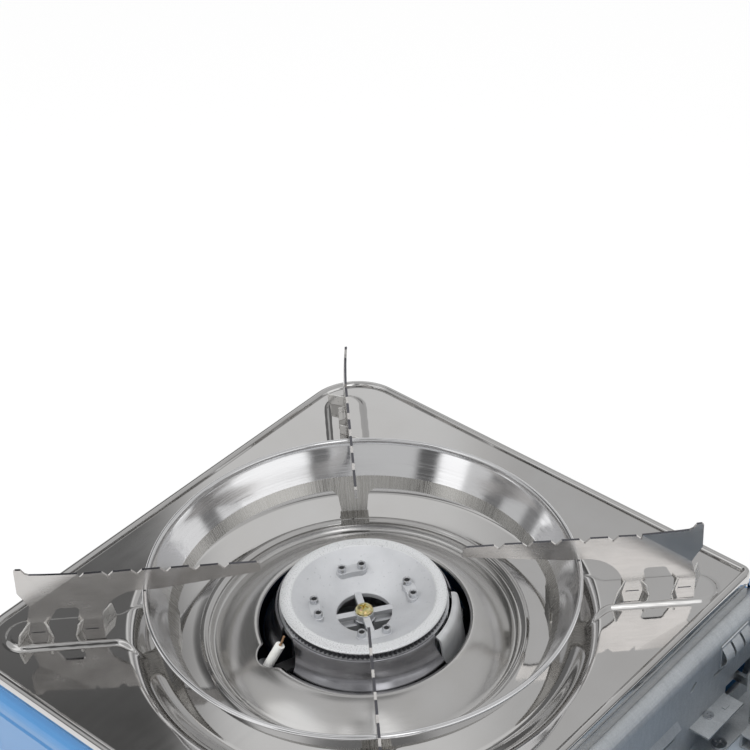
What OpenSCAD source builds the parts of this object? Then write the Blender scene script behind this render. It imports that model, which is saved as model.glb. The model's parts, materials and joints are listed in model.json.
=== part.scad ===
// Butane cassette stove: one ring burner, a lift-off stainless top with four pan arms,
// and a side compartment for the gas cartridge with an opening lid.
// Millimetres. X runs to the right, Y to the back, Z up from the table.
// Sizes are written about the burner's axis; at_burner() carries them to the model's origin.

/* [Body] */
// Width of the whole body, left to right
body_w = 340; // [330:1:360]
// Room between the cartridge's base and the back of the body
back_room = 43.5; // [40:0.5:52]
// Height of the top plate above the table
rim_z = 76; // [74:1:80]
// Height of the body's floor above the table
floor_z = 6; // [5:0.5:7]
// Thickness of the painted sheet
sheet = 1; // [0.8:0.1:1.2]
// Radius of the body's right corners, beside the cartridge
body_r_right = 16; // [15:1:20]
// Burner axis from the left side of the body
burner_from_left = 131; // [129:0.5:134]
// Burner axis from the front of the body
burner_from_front = 137.5; // [136:0.5:139]
// Width of a cooling slot in the floor
vent_w = 4; // [3:0.5:5]
// Length of a cooling slot in the floor
vent_l = 44; // [30:1:50]
// Radius of a rubber foot
foot_r = 9; // [8:0.5:11]
// Distance of a foot from the sides of the body
foot_inset = 30; // [26:1:36]

/* [Top plate] */
// Thickness of the stainless sheet
plate_t = 0.8; // [0.6:0.1:1]
// Gap in plan between the body's widest line and the plate's edge
plate_inset = 3.2; // [2.8:0.1:4]
// Burner axis to the plate's right edge
plate_right = 122; // [121:0.5:123]
// Width of the raised bead round the plate
bead_w = 4.4; // [3.6:0.1:5]
// Depth of the hem outside the body
hem_drop = 4.2; // [3.5:0.1:5]
// Radius of the plate's left corners
plate_r = 28; // [24:1:30]
// Depth of the skirt beside the cartridge compartment
skirt_drop = 11.7; // [9:0.1:13]
// Radius where the well starts
well_r = 107.5; // [104:0.5:109]
// Radius of the well's flat floor
well_floor_r = 92; // [90:0.5:95]
// Radius of the hole in the well's floor
well_hole_r = 71.5; // [70:0.5:74]
// Depth of the well
well_depth = 7.7; // [6:0.1:9]
// Half width of the raised seat under a pan arm
seat_half = 9; // [8:0.1:10]
// Height of the raised seat
seat_h = 1.8; // [1.4:0.1:2.4]

/* [Drip dish] */
// Radius of the hole round the burner
dish_hole_r = 48.2; // [47.5:0.1:50]
// Depth of the groove below the top plate
groove_depth = 11; // [10:0.1:12]
// Depth of the hole's edge below the top plate
dish_edge_depth = 1.8; // [1:0.1:3]
// Depth of the notch for the spark electrode
dish_notch = 6; // [5:0.5:7]

/* [Windshield] */
// Radius of the rolled rim
shield_r = 97.6; // [95:0.1:99]
// Height of the rim's middle above the top plate
shield_z = 22; // [20:0.5:23]
// Radius of the crease between the polished cone and the band
crease_r = 88.5; // [87:0.1:90]
// Height of that crease
crease_z = 7.5; // [6.5:0.1:8.5]
// Height of the band's lower edge
band_z = 2.4; // [1.5:0.1:3]
// Half width of a leg
leg_half = 6.8; // [6:0.1:8]

/* [Pan arms] */
// Thickness of an arm
arm_t = 1.2; // [1:0.1:1.6]
// Height of the arms' top edge above the top plate
arm_z = 35.8; // [34:0.1:38]
// Radius of an arm's tip
arm_tip_r = 45; // [43:0.5:48]
// Radius of an arm's outer end
arm_end_r = 154; // [151:0.5:156]
// Radius of the first notch
notch_r = 61.5; // [60:0.5:64]
// Distance between notches
notch_pitch = 12.85; // [12:0.05:13.2]
// Depth of a notch
notch_d = 2.6; // [2:0.1:3.2]

/* [Burner] */
// Radius of the burner cap
cap_r = 39.4; // [38:0.1:40.5]
// Height of the cap's edge above the top plate
cap_z = 11.9; // [11:0.1:13]
// Radius of the opening in the middle of the cap
cap_hole_r = 12.6; // [11:0.1:14]
// Radius of the ring of nozzles
nozzle_ring_r = 22.5; // [21:0.1:24]
// Radius of a nozzle
nozzle_r = 2.1; // [1.8:0.1:2.3]
// Number of flame ports
port_count = 60; // [40:1:72]
// Bore of the mixing tube
mix_bore_r = 8; // [7:0.1:9]
// Height of the mixing tube's axis above the table
mix_z = 43; // [42:0.5:45]
// Radius of the mixing tube's bend
mix_bend_r = 35; // [32:1:38]
// Radius of the electrode's ceramic
ceramic_r = 2.2; // [2:0.1:2.5]

/* [Cartridge compartment] */
// Burner axis to the face of the partition wall
wall_x = 129; // [128.5:0.1:130]
// Height of the wall's shoulder below the top plate
shoulder_drop = 12; // [11:0.1:14]
// Radius of the wall's shoulder
shoulder_r = 7; // [6:0.1:8]
// Radius of the gas cartridge
can_r = 34; // [33.5:0.1:34.5]
// Length of the gas cartridge
can_l = 184; // [182:1:186]
// Height of the cartridge's axis above the table
can_z = 43; // [42.5:0.5:45]
// Burner axis to the cartridge's axis
can_x = 168.5; // [168:0.5:169.5]
// Front of the cartridge behind the burner axis, negative towards the front
can_front = -89; // [-90:0.5:-88]

/* [Lid] */
// Height of the lid's hinge axis above the table
hinge_z = 67; // [66.5:0.5:70]
// Distance of the hinge axis from the right side of the body
hinge_in = 4.5; // [4.3:0.1:6]
// Height of the lid above its hinge axis
lid_rise = 15; // [13:0.5:16]
// Angle of the open lid
lid_open = 105; // [95:1:110]
// Radius of a hinge pin
hinge_pin_r = 2; // [1.8:0.1:2.4]

/* [Controls] */
// Radius of the knob
knob_r = 21; // [19:0.5:22]
// How far the knob stands out of the body
knob_out = 20; // [18:0.5:22]
// Turn of the knob from off to lit
knob_turn = 130; // [120:1:140]
// Lift of the igniter's cam over that turn
cam_lift = 4; // [3:0.1:4.5]
// Turn of the lock lever
lever_turn = 35; // [30:1:36]
// Arm of the lock lever that moves the push rod
lever_arm = 11; // [10:0.1:11.5]

/* [Clearances] */
// Gap between sheets that pass each other
gap = 0.3; // [0.2:0.05:0.4]
// Radial gap of a running fit
run_gap = 0.05; // [0.03:0.01:0.1]

/* [Hidden] */
$fn = 48;
e = 0.01;                                   // overlap that makes a union whole
x0 = -burner_from_left;                     // the body's sides about the burner axis
x1 = x0 + body_w;
y0 = -burner_from_front;
can_back = can_front + can_l;
y1 = can_back + back_room;                  // the body is as deep as its cartridge needs
body_d = y1 - y0;
px0 = x0 + plate_inset;                     // the plate's sides
px1 = plate_right;
py0 = y0 + plate_inset;
py1 = y1 - plate_inset;
plate_r_right = bead_w + 0.8;
plate_radii = [plate_r_right, plate_r_right, plate_r, plate_r];
body_r = plate_r + plate_inset;             // left corners, round the plate's own
body_radii = [body_r_right, body_r_right, body_r, body_r];
plate_low = rim_z - plate_t;                // underside of the flat plate
inner_floor = floor_z + sheet;              // top of the body's floor
comp_top = 61;                              // top of the body round the compartment
skirt_low = rim_z - skirt_drop;
shoulder_z = rim_z - shoulder_drop;
wall_t = sheet;
wall_back = wall_x - wall_t;
up_x = plate_right - plate_t - 0.7;         // outer face of the wall's upstand
wall_y0 = y0 + 2.6;                         // the wall's ends, clear of the body's sides
wall_y1 = y1 - 2.6;

// Lid
hinge_x = x1 - hinge_in;
lid_x0 = plate_right + 0.8;
lid_x1 = x1 - 0.2;
lid_low = comp_top + 0.7;
lid_top = hinge_z + lid_rise;
lid_rr = 12;                                // radius along the lid's outer top edge
lid_rl = 4;                                 // radius along its inner top edge
// Reach of the open lid to the right of its hinge, from its rounded inner edge
lid_reach = (lid_x0 + lid_rl - hinge_x) * cos(lid_open)
    + (lid_top - lid_rl - hinge_z) * sin(lid_open) + lid_rl;
ear_y = 92;                                 // hinge ears from the middle of the depth
ear_mid = (y0 + y1) / 2;

// The origin is under the middle of the box round the stove with its lid open
burner_x = burner_from_left - (x1 - x0 - hinge_in + lid_reach) / 2;
burner_y = burner_from_front - (body_d - knob_out) / 2;

// Cartridge and what meets it
rod_travel = 2 * lever_arm * sin(lever_turn / 2);
pusher_y = can_back + rod_travel + gap;     // face of the pusher with the lever up
bulk_y = can_front - 9;                     // rear face of the bulkhead
bulk_t = 1.2;
collar_r = 17.2;                            // bore of the collar that takes the cartridge
reg_r = 22;
lug_angles = [30, 150, 270];
reg_front = bulk_y - bulk_t - 22;           // front of the regulator's body
cover_front = reg_front - 6;
panel_t = 1;
panel_y = y0 + sheet;                       // front face of the control panel
spindle_r = 4;
cam_r = 10;                                 // radius of the cam with the knob off
cam_t = 4.4;
cam_back = cover_front - 0.8;
piezo_top = can_z - cam_r - gap - cam_lift - 2;

// Lock lever
rod_t = 2;
rod_x = wall_back - 0.5 - rod_t;            // the push rod's left face
rod_low = 24;
rod_high = 34;
lever_pin_r = 2;
lever_pivot_y = -113;
lever_pivot_z = (rod_low + rod_high) / 2 - lever_arm;
lever_x = 137;                              // left face of the lever's plate
lever_t = 2;
lever_rest = 47;                           // slope of the lever's handle when it is up
slot_x = lever_x + lever_t / 2;
hole_y = can_back + 12;                     // front end of the wall's rear opening
hole_len = 24;
hole_z = 18;
hole_h = 13;
push_y = hole_y + rod_travel + 2.4;         // the rod's arm, behind the opening's front edge

// Burner
cap_floor = cap_z - 3;                      // underside of the cap's edge
ring_top = rim_z + cap_floor - 1.7;         // top of the burner body, under the ports
dish_slope = 0.56;                          // fall of the cap towards its middle
dish_in_r = 32.4;
spoke_angle = 55;                           // turn of the cap's spokes
cap_mid_z = cap_z - 0.4 - dish_slope * (dish_in_r - cap_hole_r);
chamber_z = rim_z - 24;
post_top = rim_z + cap_mid_z - 2.6;
mix_r = mix_bore_r + 1.5;
mix_y = -108;                               // the mixing tube's straight run
tube_start = wall_back - 3;
socket_r = mix_r + 0.1;
strap_z = mix_z - socket_r - 3;             // underside of the burner body
spark_top = [-13.9, -41, rim_z + 2];        // upper end of the ceramic
spark_dir = [0.327, 0.319, 0.889];
ceramic_l = 30;
wire_r = 0.6;
wire_turn = 26;                             // bend of the wire above the ceramic
wire_turn_r = 2;
wire_tip = 3;                               // straight end after the bend
pick_r = 46.2;                              // outer radius of the heat pick-up
strip_z = rim_z - 18;

// Route of the ignition lead, from the igniter to the electrode
lead_r = 1.4;
lead_route = [[161.4, -130.8, 12], [157, -130.8, 12], [150, -130.4, 13], [140, -129, 15], [133, -127, 16],
    [128, -125, 16], [122, -122, 16], [112, -112, 15], [98, -100, 13], [80, -90, 12], [60, -82, 12],
    [40, -76, 12], [20, -70, 13], [4, -66, 16], [-8, -63, 21], [-17, -60, 28], [-22.6, -57.4, 36],
    [-25.2, -53.6, 44], [-24.1, -50.9, 50.7]];

// Carries what is written about the burner axis to the model's origin.
module at_burner() translate([burner_x, burner_y, 0]) children();

function arc(cx, cy, r, a0, a1, n = 8) =
    [for (i = [0:n]) [cx + r * cos(a0 + (a1 - a0) * i / n), cy + r * sin(a0 + (a1 - a0) * i / n)]];

// Smooth step from z0 at ra to z1 at rb, as [radius, height] points.
function ease(ra, z0, rb, z1, n = 10) =
    [for (i = [0:n]) [ra + (rb - ra) * i / n, z0 + (z1 - z0) * (1 - cos(180 * i / n)) / 2]];

function lowered(points, d) = [for (p = points) [p[0], p[1] - d]];
function reversed(points) = [for (i = [len(points) - 1:-1:0]) points[i]];

// Sheet of thickness t under a line of [radius, height] points.
module sheet_under(points, t) polygon(concat(points, reversed(lowered(points, t))));

// Rectangle with its own radius at the front-right, back-right, back-left and front-left corner.
module plan(ax, bx, ay, by, r) {
    polygon([[ax + r[3], ay], [bx - r[0], ay], [bx, ay + r[0]], [bx, by - r[1]],
        [bx - r[1], by], [ax + r[2], by], [ax, by - r[2]], [ax, ay + r[3]]]);
    translate([bx - r[0], ay + r[0]]) circle(r[0]);
    translate([bx - r[1], by - r[1]]) circle(r[1]);
    translate([ax + r[2], by - r[2]]) circle(r[2]);
    translate([ax + r[3], ay + r[3]]) circle(r[3]);
}

// Straight stretch of a wall whose section is [outward offset, height] points.
module wall_run(mid, facing, length, section)
    translate([mid[0], mid[1], 0]) rotate([0, 0, facing]) rotate([90, 0, 0])
        translate([0, 0, -length / 2]) linear_extrude(length) polygon(section);

module wall_corner(mid, start, r, section)
    translate([mid[0], mid[1], 0]) rotate([0, 0, start])
        rotate_extrude(angle = 90) translate([r, 0]) polygon(section);

// Carries a section round a rectangle with rounded corners.
module swept(ax, bx, ay, by, r, section) {
    wall_run([bx, (ay + r[0] + by - r[1]) / 2], 0, by - ay - r[0] - r[1], section);
    wall_run([(ax + r[2] + bx - r[1]) / 2, by], 90, bx - ax - r[1] - r[2], section);
    wall_run([ax, (ay + r[3] + by - r[2]) / 2], 180, by - ay - r[2] - r[3], section);
    wall_run([(ax + r[3] + bx - r[0]) / 2, ay], -90, bx - ax - r[0] - r[3], section);
    wall_corner([bx - r[1], by - r[1]], 0, r[1], section);
    wall_corner([ax + r[2], by - r[2]], 90, r[2], section);
    wall_corner([ax + r[3], ay + r[3]], 180, r[3], section);
    wall_corner([bx - r[0], ay + r[0]], 270, r[0], section);
}

// Slot with round ends, along X.
module slot2d(length, width) {
    square([length - width, width], center = true);
    for (s = [-1, 1]) translate([s * (length - width) / 2, 0]) circle(width / 2);
}

// Flat-headed or pan-headed screw pointing down, its head resting at z = 0.
module screw(r, length, head_r, head_h) {
    translate([0, 0, -length]) cylinder(r = r, h = length + e);
    difference() {
        cylinder(r = head_r, h = head_h);
        for (a = [0, 90])
            rotate([0, 0, a]) translate([-head_r * 0.6, -head_r * 0.12, head_h * 0.5])
                cube([head_r * 1.2, head_r * 0.24, head_h]);
    }
}

// ---- body ------------------------------------------------------------------------------------

foot_spots = [for (x = [x0 + foot_inset, x1 - foot_inset], y = [y0 + foot_inset, y1 - foot_inset]) [x, y]];
foot_screw_r = 2;
rail_screw_in = 10.5;                       // rail's screw from the back of the body
screw_r = 1.8;                              // sheet metal screws
floor_screw_spots = [[-37, 0], [37, 0], [wall_x + 9, -90], [wall_x + 9, 13], [wall_x + 9, 90],
    [151, lever_pivot_y], [can_x + 6, y1 - rail_screw_in]];

// Outline of the painted side: a rolled foot, an upright face, a ridge, a shoulder and the rim
// that carries the top plate, as [outward offset, height] points.
rim_o = -plate_inset - plate_t - 0.4;       // outer face of the rim under the plate
top_r = 9;                                  // radius of the shoulder
top_c = comp_top;                           // height of its centre
foot_bend = 8;                              // radius along the bottom edge
side_section = concat(
    [[-12, floor_z]], arc(-foot_bend, floor_z + foot_bend, foot_bend, 270, 360, 6),
    [[0, 56.5], [-0.8, 57.7], [-0.8, 59.3], [0, 60.5]],
    arc(-top_r, top_c, top_r, 0, acos((top_r + rim_o) / top_r), 6),
    [[rim_o, plate_low], [-14, plate_low], [-14, plate_low - sheet], [rim_o - sheet, plate_low - sheet]],
    reversed(arc(-top_r, top_c, top_r - sheet, 0, acos((top_r + rim_o - sheet) / (top_r - sheet)), 6)),
    [[-sheet, 60.9], [-0.8 - sheet, 59.7], [-0.8 - sheet, 57.3], [-sheet, 56.1]],
    reversed(arc(-foot_bend, floor_z + foot_bend, foot_bend - sheet, 270, 360, 6)), [[-12, floor_z + sheet]]);

panel_x0 = wall_x + 3;
panel_x1 = x1 - body_r_right;
panel_z0 = 14.5;
panel_z1 = 56;

module body_shell() color("#3f8fcb") at_burner() difference() {
    union() {
        swept(x0, x1, y0, y1, body_radii, side_section);
        translate([0, 0, floor_z])
            linear_extrude(sheet) plan(x0 + 11, x1 - 11, y0 + 11, y1 - 11, [for (r = body_radii) r - 11]);
    }
    // open top over the cartridge compartment
    translate([up_x + 0.6, y0 - 1, comp_top]) cube([body_w, body_d + 2, rim_z]);
    // room for the plate's right corners
    translate([px1 - plate_r_right - gap, y0 - 1, rim_z - hem_drop - gap]) cube([body_w, body_d + 2, rim_z]);
    // window for the control panel
    translate([0, y0 - 1, 0]) rotate([90, 0, 0]) translate([0, 0, -sheet - 2])
        linear_extrude(sheet + 2) plan(panel_x0 + 3, panel_x1 - 3, panel_z0 + 3, panel_z1 - 3, [3, 3, 3, 3]);
    for (p = foot_spots) translate([p[0], p[1], 0]) cylinder(r = foot_screw_r + 0.1, h = 20);
    for (p = floor_screw_spots) translate([p[0], p[1], 0]) cylinder(r = screw_r + 0.1, h = 20);
    // cooling slots under the burner
    for (row = [-1, 1], i = [-4, -3, -2, -1, 1, 2, 3, 4])
        translate([row * (vent_l + 10) / 2, i * 14, 0]) linear_extrude(20) slot2d(vent_l, vent_w);
    // drain slots under the cartridge
    for (i = [-2:2]) translate([can_x + 4, i * 26, 0]) linear_extrude(20) slot2d(36, vent_w);
}

module foot_pads() color("#2b2b2c") at_burner()
    for (p = foot_spots) translate([p[0], p[1], 0]) difference() {
        cylinder(r1 = foot_r - 1, r2 = foot_r, h = floor_z);
        translate([0, 0, -1]) cylinder(r = foot_r * 0.5, h = 3.4);
        cylinder(r = foot_screw_r + 0.1, h = 20);
    }

module foot_screws() color("#b9bcc0") at_burner()
    for (p = foot_spots) translate([p[0], p[1], 2.4]) mirror([0, 0, 1])
        screw(foot_screw_r, floor_z + sheet + 2 - 2.4, foot_r * 0.45, 1.5);

module control_panel() color("#26282b") at_burner() difference() {
    union() {
        translate([0, panel_y, 0]) rotate([90, 0, 0]) translate([0, 0, -panel_t])
            linear_extrude(panel_t) plan(panel_x0, panel_x1, panel_z0, panel_z1, [4, 4, 4, 4]);
        // face that fills the body's window
        translate([0, panel_y, 0]) rotate([90, 0, 0]) translate([0, 0, -e]) linear_extrude(sheet + e)
            plan(panel_x0 + 3 + gap, panel_x1 - 3 - gap, panel_z0 + 3 + gap, panel_z1 - 3 - gap,
                [2.7, 2.7, 2.7, 2.7]);
    }
    translate([can_x, panel_y + panel_t + 1, can_z]) rotate([90, 0, 0]) cylinder(r = spindle_r + 1, h = 5);
    // slot for the lock lever
    translate([slot_x, panel_y + panel_t + 1, (panel_z0 + panel_z1) / 2 - 0.5]) rotate([90, 0, 0])
        linear_extrude(5) rotate([0, 0, 90]) slot2d(31, lever_t + 1.6);
}

// Dial ring with plain ticks round the knob.
module knob_bezel() color("#c9ccd0") at_burner() translate([can_x, y0, can_z]) rotate([90, 0, 0])
    difference() {
    union() {
        cylinder(r = knob_r - 2, h = 0.8);
        intersection() {
            cylinder(r = knob_r + 2.5, h = 0.8);
            translate([-30, -can_z + panel_z0 + 4, 0])
                cube([30 + panel_x1 - 4 - can_x, panel_z1 - panel_z0 - 8, 1]);
        }
    }
    translate([0, 0, -1]) cylinder(r = spindle_r + 1, h = 3);
    for (a = [0:20:120]) rotate([0, 0, a + 150]) translate([knob_r + 0.6, -0.4, 0.4]) cube([1.6, 0.8, 1]);
}

// ---- top plate -------------------------------------------------------------------------------

bead_r = bead_w / 2;
bead_section = concat(
    [[0, rim_z - hem_drop]], arc(-bead_r, rim_z - 0.4, bead_r, 0, 180, 12),
    reversed(arc(-bead_r, rim_z - 0.4, bead_r - plate_t, 0, 180, 12)), [[-plate_t, rim_z - hem_drop]]);
seat_in = 106;                              // ends of a seat along its arm
seat_out = 153;

module arm_seat(grow, h) {
    run = seat_out - seat_in;
    top = seat_half - 2 - grow;
    foot = seat_half - grow;
    translate([seat_in, 0, 0]) rotate([90, 0, 90]) linear_extrude(run)
        polygon([[-foot, -e], [foot, -e], [top, h], [-top, h]]);
    for (r = [seat_in, seat_out]) translate([r, 0, -e]) cylinder(r1 = foot, r2 = top, h = h + e);
}

module four_arms() for (a = [45:90:315]) rotate([0, 0, a]) children();

arm_leg_r = [[116.6, 129.4], [141, 153]];   // the two legs of an arm, as radii
tab_half = 3;                               // half width of the tab under a leg

module top_plate() color("#c4c6c8") at_burner() difference() {
    union() {
        translate([0, 0, plate_low]) linear_extrude(plate_t) difference() {
            plan(px0 + bead_w - 0.6, px1 - bead_w + 0.6, py0 + bead_w - 0.6, py1 - bead_w + 0.6,
                [for (r = plate_radii) r - bead_w + 0.6]);
            circle(well_r - e);
        }
        swept(px0, px1, py0, py1, plate_radii, bead_section);
        // skirt beside the compartment
        translate([px1 - plate_t, py0 + plate_r_right, skirt_low])
            cube([plate_t, py1 - py0 - 2 * plate_r_right, skirt_drop - 0.2]);
        translate([0, 0, rim_z]) rotate_extrude()
            sheet_under(concat([[well_hole_r, -well_depth]],
                ease(well_floor_r, -well_depth, well_r, 0)), plate_t);
        translate([0, 0, rim_z]) four_arms() arm_seat(0, seat_h);
    }
    translate([0, 0, rim_z - plate_t]) four_arms() difference() {
        arm_seat(plate_t, seat_h);
        translate([0, -20, -1]) cube([well_r, 40, 5]);
    }
    // slots for the arms' tabs
    four_arms() for (leg = arm_leg_r)
        translate([(leg[0] + leg[1]) / 2 - tab_half - gap, -arm_t / 2 - gap, rim_z - 3])
            cube([2 * tab_half + 2 * gap, arm_t + 2 * gap, 8]);
}

module drip_dish() color("#bfc1c3") at_burner() difference() {
    translate([0, 0, rim_z]) rotate_extrude() union() {
        low = -well_depth - plate_t;
        sheet_under(concat(
            [[dish_hole_r, -dish_edge_depth - 0.4], [dish_hole_r + 0.8, -dish_edge_depth]],
            ease(dish_hole_r + 3, -dish_edge_depth, 67.5, -groove_depth), [[69, -groove_depth]],
            [[well_hole_r - 0.8, low], [well_hole_r + 4, low]]), plate_t);
    }
    // notch for the spark electrode
    rotate([0, 0, atan2(spark_top[1], spark_top[0])]) translate([dish_hole_r - 3, 0, rim_z - 8])
        cylinder(r = dish_notch + 3, h = 12);
}

// ---- windshield ------------------------------------------------------------------------------

shield_slope = (shield_r - crease_r) / (shield_z - crease_z);
function shield_at(z) = crease_r - shield_slope * (crease_z - z);
leg_foot_z = -well_depth + plate_t;
leg_foot_r = shield_at(leg_foot_z);

module shield_leg_outline() polygon(concat(
    [[-leg_half, -well_depth]],
    [for (p = arc(-leg_half - 5, band_z - 5, 5, 0, 90, 6)) p], [[-leg_half - 5, band_z + 1]],
    [[leg_half + 5, band_z + 1]], [for (p = arc(leg_half + 5, band_z - 5, 5, 90, 180, 6)) p],
    [[leg_half, -well_depth]]));

module windshield_ring() color("#d3d5d8") at_burner() translate([0, 0, rim_z]) {
    flat = 0.95;                            // the cone's sheet, measured across
    intersection() {
        rotate_extrude() polygon([[shield_r - 0.4, shield_z + 0.4], [crease_r, crease_z],
            [leg_foot_r, leg_foot_z], [well_hole_r - 1.2, leg_foot_z], [well_hole_r - 1.2, -well_depth],
            [leg_foot_r + 1.2, -well_depth], [crease_r + flat, crease_z], [shield_r + 0.5, shield_z + 0.4]]);
        union() {
            translate([0, 0, band_z]) cylinder(r = shield_r + 5, h = 40);
            four_arms() translate([60, 0, 0]) rotate([90, 0, 90]) linear_extrude(45) shield_leg_outline();
        }
    }
    rotate_extrude() translate([shield_r, shield_z + 0.4]) circle(1.2, $fn = 24);
}

// ---- pan arms --------------------------------------------------------------------------------

arm_foot_z = seat_h;
flange_t = 1;                               // stiffening flanges beside each leg
flange_out = 2.6;
flange_h = 5.6;
notches = [for (i = [5:-1:0]) notch_r + notch_pitch * i];

arm_outline = concat(
    [[arm_tip_r - 3, arm_z - 7.5], [shield_r - 6, shield_z + 2], [shield_r + 2, shield_z + 1.9]],
    arc(shield_r + 2, 5, 19, 85, 12, 8), [[118, 8.5], [arm_leg_r[0][0], arm_foot_z]],
    [[arm_leg_r[0][1], arm_foot_z], [128.8, 8.5], [127.8, 14.4], [129.4, 16]],
    [[137, 16], [138.6, 14.4], [arm_leg_r[1][0] + 0.4, 8.5], [arm_leg_r[1][0], arm_foot_z]],
    [[arm_leg_r[1][1], arm_foot_z], [152, 8.5], [149.3, 18.3], [arm_end_r, 26], [arm_end_r, arm_z + 2.6]],
    [[arm_end_r - 3.6, arm_z + 2.6], [arm_end_r - 5, arm_z + 0.2], [arm_end_r - 9, arm_z]],
    [for (r = notches) each [[r + 2.4, arm_z], [r, arm_z - notch_d], [r - 2.4, arm_z - 0.2]]],
    [[arm_tip_r + 1.5, arm_z - 0.2], [arm_tip_r, arm_z - 1.5]]);

// The legs' flanges turn to one side: side is 1 or -1.
module pan_arm(angle, side) color("#cfd1d3") at_burner() translate([0, 0, rim_z]) rotate([0, 0, angle]) {
    rotate([90, 0, 0]) translate([0, 0, -arm_t / 2]) linear_extrude(arm_t) polygon(arm_outline);
    for (leg = arm_leg_r) {
        mid = (leg[0] + leg[1]) / 2;
        translate([mid - tab_half, -arm_t / 2, arm_foot_z - 3.4]) cube([2 * tab_half, arm_t, 4]);
        for (x = [leg[0] + 0.4, leg[1] - flange_t - 0.4])
            translate([x, side > 0 ? arm_t / 2 - 0.4 : -arm_t / 2 - flange_out, arm_foot_z])
                cube([flange_t, flange_out + 0.4, flange_h]);
    }
}

module arm_front_left() pan_arm(225, 1);
module arm_front_right() pan_arm(315, -1);
module arm_back_right() pan_arm(45, -1);
module arm_back_left() pan_arm(135, 1);

// ---- burner ----------------------------------------------------------------------------------

bracket_x = 30;

neck_r = socket_r + 3.5;
boss_x = 18;                                // screw bosses under the burner

module burner_body() color("#a9abae") at_burner() difference() {
    union() {
        rotate_extrude() polygon([[0, strap_z], [neck_r, strap_z], [neck_r, chamber_z - 3],
            [30, chamber_z - 3],
            [34, chamber_z + 2], [34, ring_top - 6], [cap_r - 0.8, ring_top - 3], [cap_r - 0.8, ring_top],
            [0, ring_top]]);
        translate([0, 0, mix_z]) rotate([90, 0, 0]) cylinder(r = socket_r + 2.5, h = 34);
        for (s = [-1, 1]) translate([s * boss_x, 0, strap_z]) cylinder(r = 4, h = chamber_z - strap_z - 1);
    }
    // mixing passage and chamber, bridged by the bar that holds the cap's screw
    difference() {
        rotate_extrude() polygon([[0, mix_z - mix_bore_r], [mix_bore_r, mix_z - mix_bore_r],
            [mix_bore_r, chamber_z], [31, chamber_z], [31, ring_top + 1], [0, ring_top + 1]]);
        rotate([0, 0, spoke_angle]) translate([-40, -3, post_top - 9]) cube([80, 6, 7]);
        translate([0, 0, post_top - 9]) cylinder(r = 5, h = 9);
    }
    translate([0, 0, mix_z]) rotate([90, 0, 0]) cylinder(r = socket_r, h = 40);
    translate([0, 0, post_top - 10]) cylinder(r = 2.1, h = 20);
    for (s = [-1, 1]) translate([s * boss_x, 0, strap_z - 1]) cylinder(r = screw_r + 0.1, h = 9.5);
}

skirt_t = 0.8;
skirt_r0 = cap_r - 5.2;                     // skirt's edge under the cap
skirt_r1 = cap_r + 6.4;                     // and its lower edge
pick_in = 40.4;                             // inner edge of the heat pick-up's hood
pick_a0 = -4;                               // where the hood starts, seen from above
pick_span = 52;
pick_gap_half = (pick_r + 0.6) * sin(pick_span / 2) + 1;

module burner_skirt() color("#85878b") at_burner() translate([0, 0, rim_z]) difference() {
    rotate_extrude() sheet_under([[skirt_r0, -1], [cap_r - 1.8, 0.6], [cap_r + 1, -3],
        [cap_r + 4.2, -8.4], [skirt_r1, -14]], skirt_t);
    // opening for the spark electrode
    rotate([0, 0, atan2(spark_top[1], spark_top[0])]) translate([cap_r - 0.8, -4.5, -20]) cube([20, 9, 17]);
    // opening for the heat pick-up
    rotate([0, 0, pick_a0 + pick_span / 2]) translate([pick_in - 4, -pick_gap_half, -20])
        cube([20, 2 * pick_gap_half, 30]);
}

// Serrated ring whose gaps are the flame ports.
module port_ring() color("#8f9195") at_burner() translate([0, 0, ring_top]) difference() {
    cylinder(r = cap_r - 1, h = rim_z + cap_floor - ring_top);
    translate([0, 0, -1]) cylinder(r = 33, h = 5);
    for (i = [0:port_count - 1]) rotate([0, 0, 360 / port_count * i])
        translate([cap_r - 4, -0.7, 0.5]) cube([4, 1.4, 3]);
}

pad_angles = [[134, 158], [-138, -114], [47, 70], [-51, -22]];   // the nozzle pairs
function dish_z(r) = cap_z - 0.4 - dish_slope * (dish_in_r - r);
nozzle_top = dish_z(nozzle_ring_r) + 2.6;

module burner_cap() color("#b4b6b8") at_burner() translate([0, 0, rim_z]) difference() {
    union() {
        rotate_extrude() polygon([[cap_hole_r, cap_mid_z], [dish_in_r, cap_z - 0.4], [dish_in_r + 0.8, cap_z],
            [cap_r - 1.6, cap_z], [cap_r, cap_z - 1.6], [cap_r, cap_floor], [dish_in_r + 0.6, cap_floor],
            [dish_in_r - 1.4, cap_floor - 0.9], [cap_hole_r, cap_mid_z - 2.6]]);
        for (a = [0:90:270]) rotate([0, 0, spoke_angle + a]) translate([0, -1.6, cap_mid_z - 2.2])
            cube([cap_hole_r + 0.6, 3.2, 2.5]);
        translate([0, 0, cap_mid_z - 2.6]) cylinder(r = 4.4, h = 3.6);
        for (pair = pad_angles) {
            rotate([0, 0, pair[0]]) rotate_extrude(angle = pair[1] - pair[0])
                translate([nozzle_ring_r - 2.4, dish_z(nozzle_ring_r) - 2.6]) square([4.8, 4.2]);
            for (a = pair) rotate([0, 0, a]) translate([nozzle_ring_r, 0, dish_z(nozzle_ring_r) - 3.2]) {
                cylinder(r = 2.6, h = 5);
                cylinder(r = nozzle_r, h = 5.8);
            }
        }
    }
    for (pair = pad_angles, a = pair) rotate([0, 0, a]) translate([nozzle_ring_r, 0, -6])
        cylinder(r = 1.1, h = 30);
    translate([0, 0, -9]) cylinder(r = 2.6, h = 20);
}

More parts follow.
